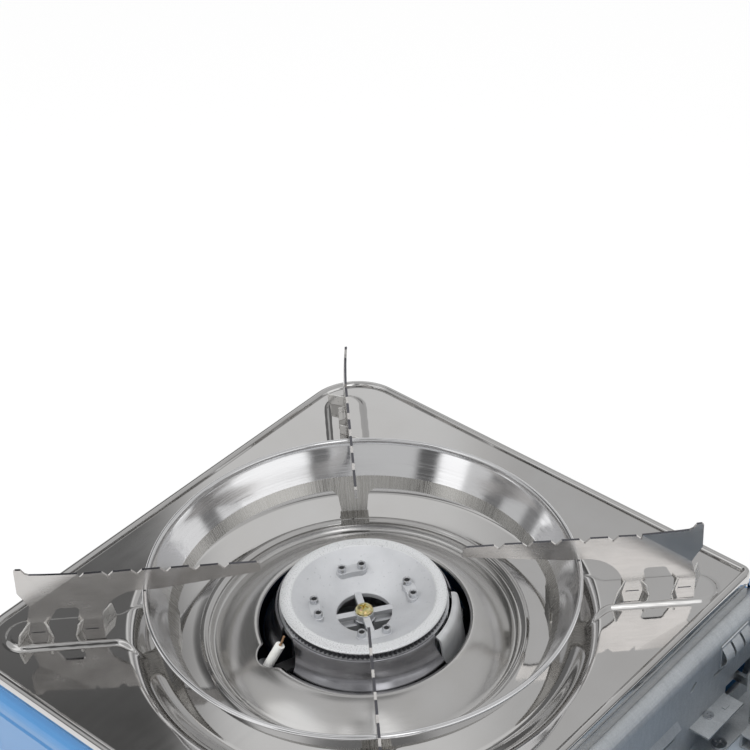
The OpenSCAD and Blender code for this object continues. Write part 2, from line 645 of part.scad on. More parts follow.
module cap_screw() color("#c9a94a") at_burner() translate([0, 0, rim_z + cap_mid_z + 1]) difference() {
    union() {
        translate([0, 0, -11]) cylinder(r = 2, h = 11 + e);
        rotate_extrude() polygon([[0, 0], [4.2, 0], [4, 1], [3, 2], [1.6, 2.5], [0, 2.6]]);
    }
    for (a = [20, 110]) rotate([0, 0, a]) translate([-2.1, -0.4, 1.2]) cube([4.2, 0.8, 3]);
}

module mix_ring(r) difference() {
    circle(r);
    circle(mix_bore_r);
}

module mixing_tube() color("#a4a7aa") at_burner() translate([0, 0, mix_z]) difference() {
    union() {
        translate([mix_bend_r, mix_y, 0]) rotate([0, 90, 0])
            linear_extrude(tube_start - 6 - mix_bend_r) mix_ring(mix_r);
        translate([mix_bend_r, mix_y + mix_bend_r, 0]) rotate([0, 0, 180])
            rotate_extrude(angle = 90) translate([mix_bend_r, 0]) mix_ring(mix_r);
        translate([0, mix_y + mix_bend_r, 0]) rotate([-90, 0, 0])
            linear_extrude(-mix_y - mix_bend_r - 14) mix_ring(mix_r);
        // mouth, with the lug that fixes it to the wall
        translate([tube_start - 6, mix_y, 0]) rotate([0, 90, 0]) linear_extrude(6) mix_ring(mix_r + 3);
        translate([tube_start - 6, mix_y - 5, mix_r]) cube([wall_back - tube_start + 6, 10, 3]);
    }
    // air inlets behind the jet
    for (a = [0:90:270]) translate([tube_start - 22, mix_y, 0]) rotate([a + 45, 0, 0])
        linear_extrude(20) slot2d(12, 6);
}

module air_shutter() color("#c2c4c6") at_burner() translate([tube_start - 31, mix_y, mix_z])
    rotate([0, 90, 0])
    difference() {
        cylinder(r = mix_r + run_gap + 0.8, h = 18);
        translate([0, 0, -1]) cylinder(r = mix_r + run_gap, h = 20);
        for (a = [0:90:270]) rotate([0, 0, a + 45]) translate([0, -2.2, 4]) cube([20, 4.4, 10]);
    }

// Strap that carries the burner on the body's floor.
module burner_bracket() color("#9a9da1") at_burner() difference() {
    union() {
        translate([-bracket_x - 1.2, -8, strap_z - 1.2]) cube([2 * bracket_x + 2.4, 16, 1.2]);
        for (s = [-1, 1]) {
            translate([s * (bracket_x + 0.6) - 0.6, -8, inner_floor]) cube([1.2, 16, strap_z - inner_floor]);
            translate([s > 0 ? bracket_x : -bracket_x - 12, -8, inner_floor]) cube([12, 16, 1.2]);
        }
    }
    for (s = [-1, 1]) {
        translate([s * boss_x, 0, 0]) cylinder(r = screw_r + 0.1, h = 60);
        translate([s * (bracket_x + 7), 0, 0]) cylinder(r = screw_r + 0.1, h = 20);
    }
}

module burner_screws() color("#b9bcc0") at_burner() for (s = [-1, 1])
    translate([s * boss_x, 0, strap_z - 1.2]) mirror([0, 0, 1]) screw(screw_r, 9, 3.6, 1.6);

// Screws through the floor, each with its head on the sheet that it holds.
module floor_screws() color("#b9bcc0") at_burner() for (p = floor_screw_spots) {
    sheet_top = inner_floor + (abs(p[0]) < 40 ? 1.2 : wall_t);
    translate([p[0], p[1], sheet_top]) screw(screw_r, sheet_top - floor_z, 3.6, 1.6);
}

// ---- spark ignition --------------------------------------------------------------------------

// Turns Z to lie along d and moves the children to p.
module along(p, d) translate(p) rotate([0, acos(d[2] / norm(d)), atan2(d[1], d[0])]) children();

module electrode_ceramic() color("#f4f3ee") at_burner() along(spark_top - ceramic_l * spark_dir, spark_dir)
    difference() {
        union() {
            cylinder(r = ceramic_r, h = ceramic_l);
            translate([0, 0, 7]) cylinder(r = ceramic_r + 0.8, h = 5);
        }
        translate([0, 0, -1]) cylinder(r = 0.7, h = ceramic_l + 2);
    }

// The wire bends just above the ceramic, so that its tip points at the flame ports.
module electrode_wire() color("#b08a62") at_burner() along(spark_top, spark_dir) {
    translate([0, 0, 1 - ceramic_l]) cylinder(r = wire_r, h = ceramic_l);
    translate([0, wire_turn_r, 1]) rotate([90, 0, -90]) {
        rotate_extrude(angle = wire_turn) translate([wire_turn_r, 0]) circle(wire_r);
        rotate([0, 0, wire_turn]) translate([wire_turn_r, 0, 0]) rotate([-90, 0, 0])
            cylinder(r = wire_r, h = wire_tip);
    }
}

module electrode_clamp() color("#a4a7aa") at_burner() difference() {
    union() {
        along(spark_top - 15.4 * spark_dir, spark_dir) cylinder(r = ceramic_r + 2.4, h = 1.6);
        rotate([0, 0, atan2(spark_top[1], spark_top[0])]) translate([33, -3, rim_z - 13.4])
            cube([14.5, 6, 1.6]);
    }
    along(spark_top - ceramic_l * spark_dir, spark_dir) cylinder(r = ceramic_r + run_gap, h = ceramic_l);
    translate([0, 0, rim_z - 20]) cylinder(r = 34, h = 12);
}

// Points of a ring of the lead, square to the route at point i.
function lead_dir(i) = let (a = lead_route[max(i - 1, 0)], b = lead_route[min(i + 1, len(lead_route) - 1)])
    (b - a) / norm(b - a);
function lead_side(i) = let (d = lead_dir(i), s = cross(d, [0, 0, 1])) s / norm(s);
function lead_ring(i) = let (s = lead_side(i), u = cross(s, lead_dir(i)))
    [for (k = [0:7]) lead_route[i] + lead_r * (cos(45 * k) * s + sin(45 * k) * u)];

module ignition_lead() color("#e8e6e0") at_burner() {
    n = len(lead_route);
    polyhedron(
        points = [for (i = [0:n - 1]) each lead_ring(i)],
        faces = concat(
            [[for (k = [0:7]) k]],
            [for (i = [0:n - 2], k = [0:7]) each let (a = 8 * i + k, b = 8 * i + (k + 1) % 8)
                [[a, a + 8, b], [b, a + 8, b + 8]]],
            [[for (k = [7:-1:0]) 8 * (n - 1) + k]]));
}

piezo_y = cover_front - 0.4;

module piezo_igniter() color("#3a3c40") at_burner() difference() {
    translate([can_x - 7, piezo_y - 6.2, inner_floor + 1.8]) cube([14, 6.2, piezo_top - inner_floor - 1.8]);
    translate([can_x, piezo_y - 3.1, inner_floor + 4]) cylinder(r = 2 + run_gap, h = 40);
    translate([can_x - 5.2, piezo_y - 3.1 - 2.6, piezo_top - 1]) cube([1.4, 5.2, 2]);
    translate([can_x + 3.8, piezo_y - 3.1 - 2.6, piezo_top - 1]) cube([1.4, 5.2, 2]);
}

module piezo_plunger() color("#d8d8d4") at_burner() translate([can_x, piezo_y - 3.1, 0]) {
    translate([0, 0, inner_floor + 4 + cam_lift + 1])
        cylinder(r = 2, h = can_z - cam_r - gap - inner_floor - 5 - cam_lift - 1);
    translate([0, 0, can_z - cam_r - gap - 1 - e]) cylinder(r1 = 2, r2 = 1, h = 1);
}

// ---- heat plate ------------------------------------------------------------------------------

// Warms the cartridge: a hood beside the burner, a strip under the dish and a curved plate.
strip_half = 8;
strip_y = 6.4;                              // middle of the strip, seen from above
contact_r = can_r + 0.6;                    // inside of the curved plate
contact_low = can_z - 12;
contact_a0 = 180 - asin((strip_z - can_z) / (contact_r + 1));
contact_a1 = 180 + asin((can_z - contact_low) / contact_r);
contact_a2 = 180 - asin((strip_z + 1 - can_z) / contact_r);

module heat_plate() color("#b2b4b6") at_burner() {
    translate([0, 0, rim_z]) rotate([0, 0, pick_a0]) rotate_extrude(angle = pick_span)
        polygon(concat([[pick_in, 3]], arc(pick_r - 6, -3, 6, 80, 0, 6), [[pick_r, strip_z - rim_z + 0.5]],
            [[pick_r - 1, strip_z - rim_z + 0.5]], reversed(arc(pick_r - 6, -3, 5, 80, 0, 6)),
                [[pick_in, 2]]));
    translate([0, strip_y + strip_half, 0]) rotate([90, 0, 0]) linear_extrude(strip_half * 2) polygon(concat(
        [[pick_r - 3.4, strip_z], [pick_r - 3.4, strip_z + 1]],
            arc(can_x, can_z, contact_r, contact_a2, contact_a1, 12),
        reversed(arc(can_x, can_z, contact_r + 1, contact_a0, contact_a1, 12))));
}

// ---- cartridge compartment -------------------------------------------------------------------

module in_wall(y, z) translate([wall_x - 5, y, z]) rotate([90, 0, 90]) children();

wall_flange = 13;                           // foot of the wall on the floor
lance_y0 = can_front + 29;
lance_y1 = can_back - 29;
tab_y0 = can_back - 18;
tab_y1 = can_back + 11;
tab_z = 24;
tab_out = 10.7;

module partition_wall() color("#8d9aa3") at_burner() difference() {
    union() {
        translate([0, wall_y1, 0]) rotate([90, 0, 0]) linear_extrude(wall_y1 - wall_y0) union() {
            c = wall_x - shoulder_r;
            polygon(concat(
                [[up_x - 12, plate_low], [up_x, plate_low], [up_x, shoulder_z]],
                arc(c, shoulder_z - shoulder_r, shoulder_r, 90, 0, 8), [[wall_x, inner_floor]],
                [[wall_back, inner_floor]],
                    reversed(arc(c, shoulder_z - shoulder_r, shoulder_r - wall_t, 90, 0, 8)),
                [[up_x - wall_t, shoulder_z - wall_t], [up_x - wall_t, plate_low - wall_t],
                [up_x - 12, plate_low - wall_t]]));
            translate([wall_x - e, inner_floor]) square([wall_flange, wall_t]);
        }
        // lip along the rod's slot
        translate([wall_x - e, (lance_y0 + lance_y1) / 2, rod_high - 0.6]) rotate([90, 0, 0])
            translate([0, 0, -(lance_y1 - lance_y0) / 2]) linear_extrude(lance_y1 - lance_y0)
                polygon([[0, 4.4], [2.6, 0.4], [2.6, -0.6], [1.8, -0.6], [1.8, 0.2], [0, 3]]);
        // rest for the cartridge, bent out of the wall
        difference() {
            translate([wall_x - e, tab_y0, tab_z - wall_t]) cube([tab_out, tab_y1 - tab_y0, wall_t]);
            translate([wall_x + 2.6, tab_y0 + 12, tab_z - 3]) cylinder(r = 1.6, h = 6);
        }
        translate([wall_x + 4.6, tab_y0 + 20, tab_z - e]) cube([2, 3.4, 0.6]);
    }
    in_wall((lance_y0 + lance_y1) / 2, (rod_low + rod_high) / 2) linear_extrude(10)
        slot2d(lance_y1 - lance_y0, 6);
    in_wall(hole_y, hole_z) linear_extrude(10) plan(0, hole_len, 0, hole_h, [4, 4, 4, 4]);
    in_wall(can_back - 17.5, 50) linear_extrude(10) rotate([0, 0, 38]) slot2d(5.6, 2.2);
    in_wall(can_back + 5, 43.6) linear_extrude(10) slot2d(11, 1.6);
    // lever pin, mixing air, ignition lead, heat plate and pivot
    in_wall(lever_pivot_y, (rod_low + rod_high) / 2) linear_extrude(10)
        slot2d(2 * lever_pin_r + rod_travel + 3, 6.4);
    in_wall(mix_y, mix_z) cylinder(r = 7.6, h = 10);
    in_wall(-125, 16) cylinder(r = lead_r + 1, h = 10);
    in_wall(strip_y, strip_z + 0.5) linear_extrude(10) slot2d(strip_half * 2 + 4, 2.4);
    in_wall(lever_pivot_y, lever_pivot_z) cylinder(r = lever_pin_r + run_gap, h = 10);
    for (p = floor_screw_spots) translate([p[0], p[1], 0]) cylinder(r = screw_r + 0.1, h = 12);
    // the lower corners clear the bend at the body's foot
    for (y = [y0, y1 - foot_bend - gap]) translate([wall_x - 3, y, 0])
        cube([60, foot_bend + gap, floor_z + foot_bend + gap]);
    // the upper part stops short of the body's own rim
    for (y = [y0, y1 - 14 - gap]) translate([up_x - 20, y, shoulder_z + e]) cube([60, 14 + gap, 20]);
}

module ledge_screw() color("#b9bcc0") at_burner()
    translate([wall_x + 2.6, tab_y0 + 12, tab_z]) screw(1.4, 4, 2.4, 1);

// Sprung fingers that steady the cartridge's rear end.
clip_y = can_back + 4;
clip_w = 22;
clip_h = 14.4;
clip_z = can_z + 1.8;
finger_pitch = 7.6;

module can_clip() color("#b7bdc2") at_burner() {
    translate([wall_x, clip_y, clip_z]) cube([0.8, clip_w, clip_h]);
    for (i = [0:2]) translate([wall_x + 0.2, clip_y + finger_pitch * i, clip_z + 1.2]) {
        translate([0, 6.2, 0]) rotate([90, 0, 0]) linear_extrude(6.2) polygon(concat(
            [[0, 12]], [for (k = [0:12]) [0.6 + 3.4 * sin(180 * k / 12), 12 - k]],
            [for (k = [12:-1:0]) [-0.1 + 3.4 * sin(180 * k / 12), 12 - k]]));
    }
}

module bulkhead() color("#8d9aa3") at_burner() difference() {
    union() {
        translate([wall_x + 2, bulk_y - bulk_t, inner_floor])
            cube([x1 - foot_bend - gap - wall_x - 2, bulk_t, 54]);
        translate([wall_x + 20, bulk_y - bulk_t, inner_floor]) cube([40, 11, bulk_t]);
    }
    translate([can_x, bulk_y + 5, can_z]) rotate([90, 0, 0]) cylinder(r = collar_r + 1.2, h = 20);
    for (a = lug_angles) translate([can_x, bulk_y + 5, can_z]) rotate([90, 0, 0]) rotate([0, 0, a])
        translate([reg_r + 3, 0, 0]) cylinder(r = 1.9, h = 20);
    // over the foot of the wall
    translate([wall_x, bulk_y - 5, inner_floor - 1]) cube([wall_flange + gap, 10, wall_t + 1 + gap]);
}

module regulator_body() color("#a9abae") at_burner() difference() {
    union() {
        translate([can_x, bulk_y - bulk_t, can_z]) rotate([90, 0, 0])
            cylinder(r = reg_r, h = bulk_y - bulk_t - reg_front);
        for (a = lug_angles) translate([can_x, bulk_y - bulk_t, can_z]) rotate([90, 0, 0]) rotate([0, 0, a])
            translate([reg_r + 3, 0, 0]) cylinder(r = 4, h = 5);
        translate([can_x - reg_r - 9, mix_y, mix_z]) rotate([0, 90, 0]) cylinder(r = 6, h = 20);
        // stub that meets the cartridge's valve
        translate([can_x, bulk_y + 2, can_z]) rotate([90, 0, 0]) cylinder(r = 5, h = 12);
    }
    for (a = lug_angles) translate([can_x, bulk_y + 2, can_z]) rotate([90, 0, 0]) rotate([0, 0, a])
        translate([reg_r + 3, 0, 0]) cylinder(r = 1.9, h = 14);
    for (a = [45:90:315]) translate([can_x, reg_front - 1, can_z]) rotate([-90, 0, 0]) rotate([0, 0, a])
        translate([reg_r - 4, 0, 0]) cylinder(r = 1.3, h = 8);
    translate([can_x, bulk_y + 3, can_z]) rotate([90, 0, 0]) cylinder(r = 1.6, h = 14);
    translate([can_x - reg_r - 10, mix_y, mix_z]) rotate([0, 90, 0]) cylinder(r = 3.1, h = 12);
    translate([can_x, reg_front - 1, can_z]) rotate([-90, 0, 0]) cylinder(r = spindle_r + run_gap, h = 12);
}

module regulator_cover() color("#b6b8bb") at_burner() translate([can_x, reg_front, can_z]) rotate([90, 0, 0])
    difference() {
        union() {
            cylinder(r = reg_r - 1, h = 2.4);
            cylinder(r1 = reg_r - 6, r2 = 8, h = reg_front - cover_front);
        }
        translate([0, 0, -1]) cylinder(r = spindle_r + run_gap, h = 20);
        for (a = [45:90:315]) rotate([0, 0, a]) translate([reg_r - 4, 0, -1]) cylinder(r = 1.3, h = 10);
    }

module regulator_screws() color("#b9bcc0") at_burner() {
    for (a = lug_angles) translate([can_x, bulk_y, can_z]) rotate([90, 0, 0]) rotate([0, 0, a])
        translate([reg_r + 3, 0, 0]) mirror([0, 0, 1]) screw(1.8, bulk_t + 5, 3.4, 1.6);
    for (a = [45:90:315]) translate([can_x, reg_front - 2.4, can_z]) rotate([90, 0, 0]) rotate([0, 0, a])
        translate([reg_r - 4, 0, 0]) screw(1.2, 8, 2.2, 1.2);
}

module jet_nozzle() color("#c8a24e") at_burner() translate([can_x - reg_r - 9, mix_y, mix_z])
    rotate([0, -90, 0])
    difference() {
        union() {
            translate([0, 0, -8]) cylinder(r = 3, h = 8);
            cylinder(r = 5, h = 3, $fn = 6);
            translate([0, 0, 3 - e]) cylinder(r1 = 3.6, r2 = 1.6, h = 11);
        }
        translate([0, 0, -9]) cylinder(r = 0.6, h = 20);
    }

// Collar that centres the cartridge and takes its notch.
module cartridge_collar() color("#9fa6ab") at_burner() translate([can_x, bulk_y, can_z]) rotate([-90, 0, 0])
    difference() {
        union() {
            cylinder(r = collar_r + 4, h = 1.2);
            translate([0, 0, -bulk_t]) cylinder(r = collar_r + 1.1, h = 8);
            translate([-2.4, -collar_r - 3.4, 0]) cube([4.8, 3.4, 8]);
        }
        translate([0, 0, -5]) cylinder(r = collar_r, h = 20);
    }

module socket_seal() color("#222222") at_burner() translate([can_x, bulk_y + 2, can_z]) rotate([-90, 0, 0])
    difference() {
        cylinder(r = 4.4, h = 2);
        translate([0, 0, -1]) cylinder(r = 1.7, h = 5);
    }

// ---- knob ------------------------------------------------------------------------------------

// Spiral that pushes the plunger down as the knob turns.
cam_outline = concat(
    [for (t = [0:5:knob_turn + 10]) (cam_r + cam_lift * t / knob_turn) * [cos(-90 - t), sin(-90 - t)]],
    [for (t = [knob_turn + 40:10:350]) cam_r * [cos(-90 - t), sin(-90 - t)]]);

module valve_spindle() color("#b6b8bb") at_burner() {
    difference() {
        translate([can_x, reg_front + 8, can_z]) rotate([90, 0, 0])
            cylinder(r = spindle_r, h = reg_front + 8 - y0 + knob_out - 6);
        translate([can_x - 6, y0 - knob_out, can_z + spindle_r - 1.4]) cube([12, knob_out - 1, 4]);
    }
    translate([can_x, cam_back, can_z]) rotate([90, 0, 0]) linear_extrude(cam_t) polygon(cam_outline);
}

module control_knob() color("#1f2022") at_burner() translate([can_x, y0 - 1.6, can_z])
    rotate([90, 0, 0]) difference() {
    depth = knob_out - 1.6;
    union() {
        cylinder(r1 = knob_r, r2 = knob_r - 1.4, h = 6);
        cylinder(r = knob_r - 4, h = depth - 4);
        for (a = [0:15:345]) rotate([0, 0, a]) translate([knob_r - 1.2, 0, 0]) cylinder(r = 1.2, h = 5);
        intersection() {
            cylinder(r = knob_r - 4, h = depth);
            translate([-4, -knob_r, 0]) cube([8, 2 * knob_r, depth]);
        }
    }
    difference() {
        translate([0, 0, -1]) cylinder(r = spindle_r + run_gap, h = depth - 3.4);
        translate([-6, spindle_r - 1.4 + run_gap, 0]) cube([12, 4, 14]);
    }
    translate([0, 0, -1]) difference() {
        cylinder(r = knob_r - 6, h = 9);
        cylinder(r = spindle_r + 3, h = 10);
    }
}

// ---- cartridge lock --------------------------------------------------------------------------

module about_pivot(turn) translate([0, lever_pivot_y, lever_pivot_z]) rotate([turn, 0, 0]) children();

module lever_bracket() color("#8d9aa3") at_burner() difference() {
    union() {
        translate([142.6, lever_pivot_y - 6, inner_floor]) cube([1.2, 12, lever_pivot_z - inner_floor + 5]);
        translate([142.6, lever_pivot_y - 6, inner_floor]) cube([14, 12, wall_t]);
    }
    for (p = floor_screw_spots) translate([p[0], p[1], 0]) cylinder(r = screw_r + 0.1, h = 12);
    translate([140, lever_pivot_y, lever_pivot_z]) rotate([0, 90, 0])
        cylinder(r = lever_pin_r + run_gap, h = 10);
}

module lever_pivot() color("#b9bcc0") at_burner()
    translate([wall_back - 1.6, lever_pivot_y, lever_pivot_z]) rotate([0, 90, 0]) {
    cylinder(r = lever_pin_r, h = 142.6 + 2.6 - wall_back + 1.6);
    cylinder(r = lever_pin_r + 1.2, h = 1.4);
}

handle_l = 52;                              // pivot to the end of the lever's handle

// Bell crank: a handle through the panel and a short arm that carries the rod's pin.
module lock_lever() color("#c2c4c6") at_burner() difference() {
    union() {
        translate([lever_x, 0, 0]) {
            about_pivot(-lever_turn / 2) rotate([90, 0, 90]) linear_extrude(lever_t) union() {
                circle(6);
                translate([-4, 0]) square([8, lever_arm]);
                translate([0, lever_arm]) circle(4);
            }
            about_pivot(-lever_rest) rotate([90, 0, 90]) linear_extrude(lever_t)
                translate([-handle_l, -3]) square([handle_l, 6]);
        }
        about_pivot(-lever_turn / 2) translate([rod_x - 0.4, 0, lever_arm]) rotate([0, 90, 0])
            cylinder(r = lever_pin_r, h = lever_x + lever_t - rod_x + 0.4);
    }
    translate([lever_x - 1, lever_pivot_y, lever_pivot_z]) rotate([0, 90, 0])
        cylinder(r = lever_pin_r + run_gap, h = 5);
}

module lever_grip() color("#1f2022") at_burner() about_pivot(-lever_rest) difference() {
    translate([slot_x - 4.5, -handle_l - 2.5, -5]) cube([9, 11, 10]);
    translate([lever_x - 0.05, -handle_l - 0.05, -3.05]) cube([lever_t + 0.1, 20, 6.1]);
}

module push_rod() color("#c2c4c6") at_burner() difference() {
    union() {
        translate([rod_x, lever_pivot_y - 4, rod_low])
            cube([rod_t, push_y + rod_t - lever_pivot_y + 4, rod_high - rod_low]);
        // arm through the rear opening to the pusher
        translate([rod_x, push_y, rod_low]) cube([can_x - 24 - rod_x, rod_t, 5]);
    }
    // slot for the lever's pin
    translate([rod_x - 1, lever_pivot_y + lever_arm * sin(lever_turn / 2), lever_pivot_z + lever_arm - 0.4])
        rotate([90, 0, 90]) linear_extrude(5) rotate([0, 0, 90])
            slot2d(2 * lever_pin_r + 2.4, 2 * lever_pin_r + 2 * gap);
}

guide_w = 8;
guide_wrap = 4;                             // guide past the rod, above and below
guide_front = 56.9;                         // guides from the ends of the wall
guide_rear = 51.9;
guide_spots = [wall_y0 + guide_front, 0, wall_y1 - guide_rear];

module rod_guides() color("#8d9aa3") at_burner() for (y = guide_spots) translate([0, y, 0]) difference() {
    translate([rod_x - gap - 1, 0, rod_low - guide_wrap])
        cube([wall_back - rod_x + gap + 1, guide_w, rod_high - rod_low + 2 * guide_wrap]);
    translate([rod_x - gap, -1, rod_low - gap])
        cube([wall_back - rod_x + 2 * gap, guide_w + 2, rod_high - rod_low + 2 * gap]);
}

// Sliding block that presses the cartridge against the regulator.
rail_h = 8.7;
rail_x0 = wall_x + 16 + gap;
rail_w = 42;
rail_y0 = can_back + 1;

pusher_r = 26;

module can_pusher() color("#c2c4c6") at_burner() {
    difference() {
        translate([can_x, pusher_y, can_z]) rotate([-90, 0, 0]) cylinder(r = pusher_r, h = 1.6);
        translate([can_x, pusher_y - 1, can_z]) rotate([-90, 0, 0]) cylinder(r = 12, h = 5);
    }
    translate([can_x - 24, pusher_y + 1.6 - e, inner_floor + rail_h + gap])
        cube([12, push_y + rod_t - pusher_y - 1.6, 18]);
    translate([can_x - 12 - e, pusher_y + 1.6 - e, inner_floor + rail_h + gap]) cube([28, 8, 7]);
}

module pusher_rail() color("#8d9aa3") at_burner() difference() {
    translate([rail_x0, rail_y0, inner_floor]) cube([rail_w, y1 - foot_bend - gap - rail_y0, rail_h]);
    translate([rail_x0 + 1.2, rail_y0 - 1, inner_floor + wall_t]) cube([rail_w - 2.4, 60, rail_h - 2.2]);
    for (p = floor_screw_spots) translate([p[0], p[1], 0]) cylinder(r = screw_r + 0.1, h = 12);
    translate([can_x + 6, y1 - rail_screw_in, inner_floor + 2]) cylinder(r = 4, h = 20);
    for (p = foot_spots) translate([p[0], p[1], 0]) cylinder(r = foot_screw_r + 1, h = 12);
}

// ---- lid -------------------------------------------------------------------------------------

module lid_section(d) {
    low = d > 0 ? 1 : 0;                    // the hollow runs out through the bottom
    polygon(concat(
        [[lid_x0 + d, shoulder_z + 0.6 - low], [lid_x1 - d, lid_low - low]],
        arc(lid_x1 - lid_rr, lid_top - lid_rr, lid_rr - d, 0, 90, 8),
        arc(lid_x0 + lid_rl, lid_top - lid_rl, lid_rl - d, 90, 180, 6)));
}

module lid_solid(d) intersection() {
    translate([0, y1, 0]) rotate([90, 0, 0]) linear_extrude(body_d) lid_section(d);
    translate([0, 0, lid_low - 2]) linear_extrude(40)
        plan(lid_x0 - 60, x1 - 0.2 - d, y0 + 1 + d, y1 - 1 - d, [for (r = body_radii) r - 1 - d]);
}

module lid_closed() difference() {
    union() {
        difference() {
            lid_solid(0);
            lid_solid(sheet);
        }
        // ears on the hinge pins
        intersection() {
            lid_solid(0);
            for (s = [-1, 1]) translate([hinge_x, ear_mid + s * ear_y + 0.6, hinge_z]) rotate([90, 0, 0])
                linear_extrude(1.2) union() {
                    circle(4.2);
                    translate([-4.2, 0]) square([7, lid_rise]);
                }
        }
        // pressed rib along the top
        translate([(lid_x0 + lid_x1) / 2 - 14, ear_mid - 90, lid_top - e]) cube([24, 180, 0.8]);
    }
    translate([hinge_x, y1, hinge_z]) rotate([90, 0, 0]) cylinder(r = hinge_pin_r + run_gap, h = body_d);
    // slits for the body's hinge brackets
    for (s = [-1, 1]) translate([hinge_x, ear_mid + s * (ear_y - 2.2) + 1.1, hinge_z]) rotate([90, 0, 0])
        cylinder(r = 9.5, h = 2.2);
}

module lid() color("#3f8fcb") at_burner()
    translate([hinge_x, 0, hinge_z]) rotate([0, lid_open, 0]) translate([-hinge_x, 0, -hinge_z]) lid_closed();

module hinge_brackets() color("#8d9aa3") at_burner() for (s = [-1, 1])
    translate([0, ear_mid + s * (ear_y - 2.2) - 0.6, 0]) difference() {
        union() {
            translate([hinge_x, 1.2, hinge_z]) rotate([90, 0, 0]) cylinder(r = 4, h = 1.2);
            translate([hinge_x - 4, 0, hinge_z - 22]) cube([hinge_in + 4 - 2 * sheet, 1.2, 22]);
            translate([x1 - sheet - 1.2, -7, hinge_z - 22]) cube([1.2, 15, 9]);
        }
        translate([hinge_x, 3, hinge_z]) rotate([90, 0, 0]) cylinder(r = hinge_pin_r + run_gap, h = 6);
        translate([x1 - sheet, -20, 0]) cube([10, 40, 100]);
    }

module hinge_pins() color("#b9bcc0") at_burner() for (s = [-1, 1])
    translate([hinge_x, ear_mid + s * (ear_y - 1.1) + 3.4, hinge_z]) rotate([90, 0, 0]) {
        cylinder(r = hinge_pin_r, h = 6.8);
        translate([0, 0, s > 0 ? -1 : 6.8 - e]) cylinder(r = hinge_pin_r + 1, h = 1 + e);
    }

body_shell();
foot_pads();
foot_screws();
control_panel();
knob_bezel();
top_plate();
drip_dish();
windshield_ring();
arm_front_left();
arm_front_right();
arm_back_right();
arm_back_left();
burner_body();
burner_skirt();
port_ring();
burner_cap();
cap_screw();
mixing_tube();
air_shutter();
burner_bracket();
burner_screws();
floor_screws();
electrode_ceramic();
electrode_wire();
electrode_clamp();
ignition_lead();
piezo_igniter();
piezo_plunger();
heat_plate();
partition_wall();
ledge_screw();
can_clip();
bulkhead();
regulator_body();
regulator_cover();
regulator_screws();
jet_nozzle();
cartridge_collar();
socket_seal();
valve_spindle();
control_knob();
lever_bracket();
lever_pivot();
lock_lever();
lever_grip();
push_rod();
rod_guides();
can_pusher();
pusher_rail();
lid();
hinge_brackets();
hinge_pins();
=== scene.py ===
import json
import math

import bpy
import numpy as np
from mathutils import Matrix, Vector


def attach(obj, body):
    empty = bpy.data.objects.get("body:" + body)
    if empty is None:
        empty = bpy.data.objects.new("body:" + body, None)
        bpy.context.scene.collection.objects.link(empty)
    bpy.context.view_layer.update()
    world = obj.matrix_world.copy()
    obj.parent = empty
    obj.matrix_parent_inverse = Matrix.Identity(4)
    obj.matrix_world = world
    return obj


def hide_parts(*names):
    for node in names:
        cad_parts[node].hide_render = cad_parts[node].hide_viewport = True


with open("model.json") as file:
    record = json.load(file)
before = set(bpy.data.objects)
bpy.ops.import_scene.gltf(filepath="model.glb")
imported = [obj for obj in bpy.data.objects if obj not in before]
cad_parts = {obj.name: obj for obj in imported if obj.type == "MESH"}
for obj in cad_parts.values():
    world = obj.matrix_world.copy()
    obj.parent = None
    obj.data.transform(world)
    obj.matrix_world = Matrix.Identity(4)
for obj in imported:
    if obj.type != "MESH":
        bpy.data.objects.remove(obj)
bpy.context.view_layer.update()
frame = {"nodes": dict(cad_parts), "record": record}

# Looks of the cassette stove. Lengths below are millimetres about the burner's axis, with z from
# the table, as in the part's source; place() carries them to the model's frame in metres.

NODES = frame["nodes"]

MM = 0.001
BURNER_X, BURNER_Y = -54.11771, 9.5         # the burner's axis in the model's frame
QUARTERS = (45, 135, 225, 315)              # headings of the seats and of the windshield's legs

RIM_Z = 76.0                                # height of the top plate
PLATE = (-127.8, 122.0, -134.3, 135.3)      # its sides: left, right, front, back
PLATE_RADII = (5.2, 5.2, 28.0, 28.0)        # front right, back right, back left, front left
PLATE_T = 0.8
BEAD, BEAD_DROP, HEM = 4.4, 0.4, 4.2        # hollow bead, its axis under the rim, and its hem
FOLD_Z = (64.3, 72.2)                       # fold that hangs from the plate's right side
WELL_R, WELL_FLOOR_R, WELL_HOLE_R, WELL_DEPTH = 107.5, 92.0, 71.5, 7.7
HOLE_BEAD = 0.9                             # rolled edge round the well's hole
SEAT_IN, SEAT_OUT, SEAT_HALF, SEAT_H, SEAT_EDGE = 106.0, 153.0, 10.4, 1.8, 2.7
SEAT_FLARE, SEAT_ROOT = 7.0, 6.0            # a seat widens at the well, over twice its root

DISH_HOLE_R, DISH_LIP, DISH_EDGE, GROOVE, GROOVE_R = 48.2, 0.8, 1.8, 11.0, 68.4
DISH_FLANGE, DISH_FLANGE_Z = 4.0, -8.5      # welded under the well's floor
NOTCH_AT, NOTCH_TURN, NOTCH_R = 45.2, -108.7, 9.0   # the dish's notch for the electrode

SHIELD_R, SHIELD_Z, CREASE_R, CREASE_Z, BAND_Z = 97.6, 22.0, 88.5, 7.5, 2.4
BAND_SIDES = (0.1, 0.95)                    # inner and outer face of the band, from the cone
ROLL_R = 1.2                                # the rolled rim
LEG_HALF, LEG_ROOT, LEG_LOW = 6.8, 5.0, -6.9
LEG_WIDTH_R = 83.0                          # where a leg's width is measured
BACK_LEG, BACK_FOOT = 135, (70.3, 79.6)     # the leg that slants in, and its foot
LEG_R, FOOT_REACH, FOOT_T = 84.2, 7.0, 0.8  # the other legs stand upright on feet bent outward

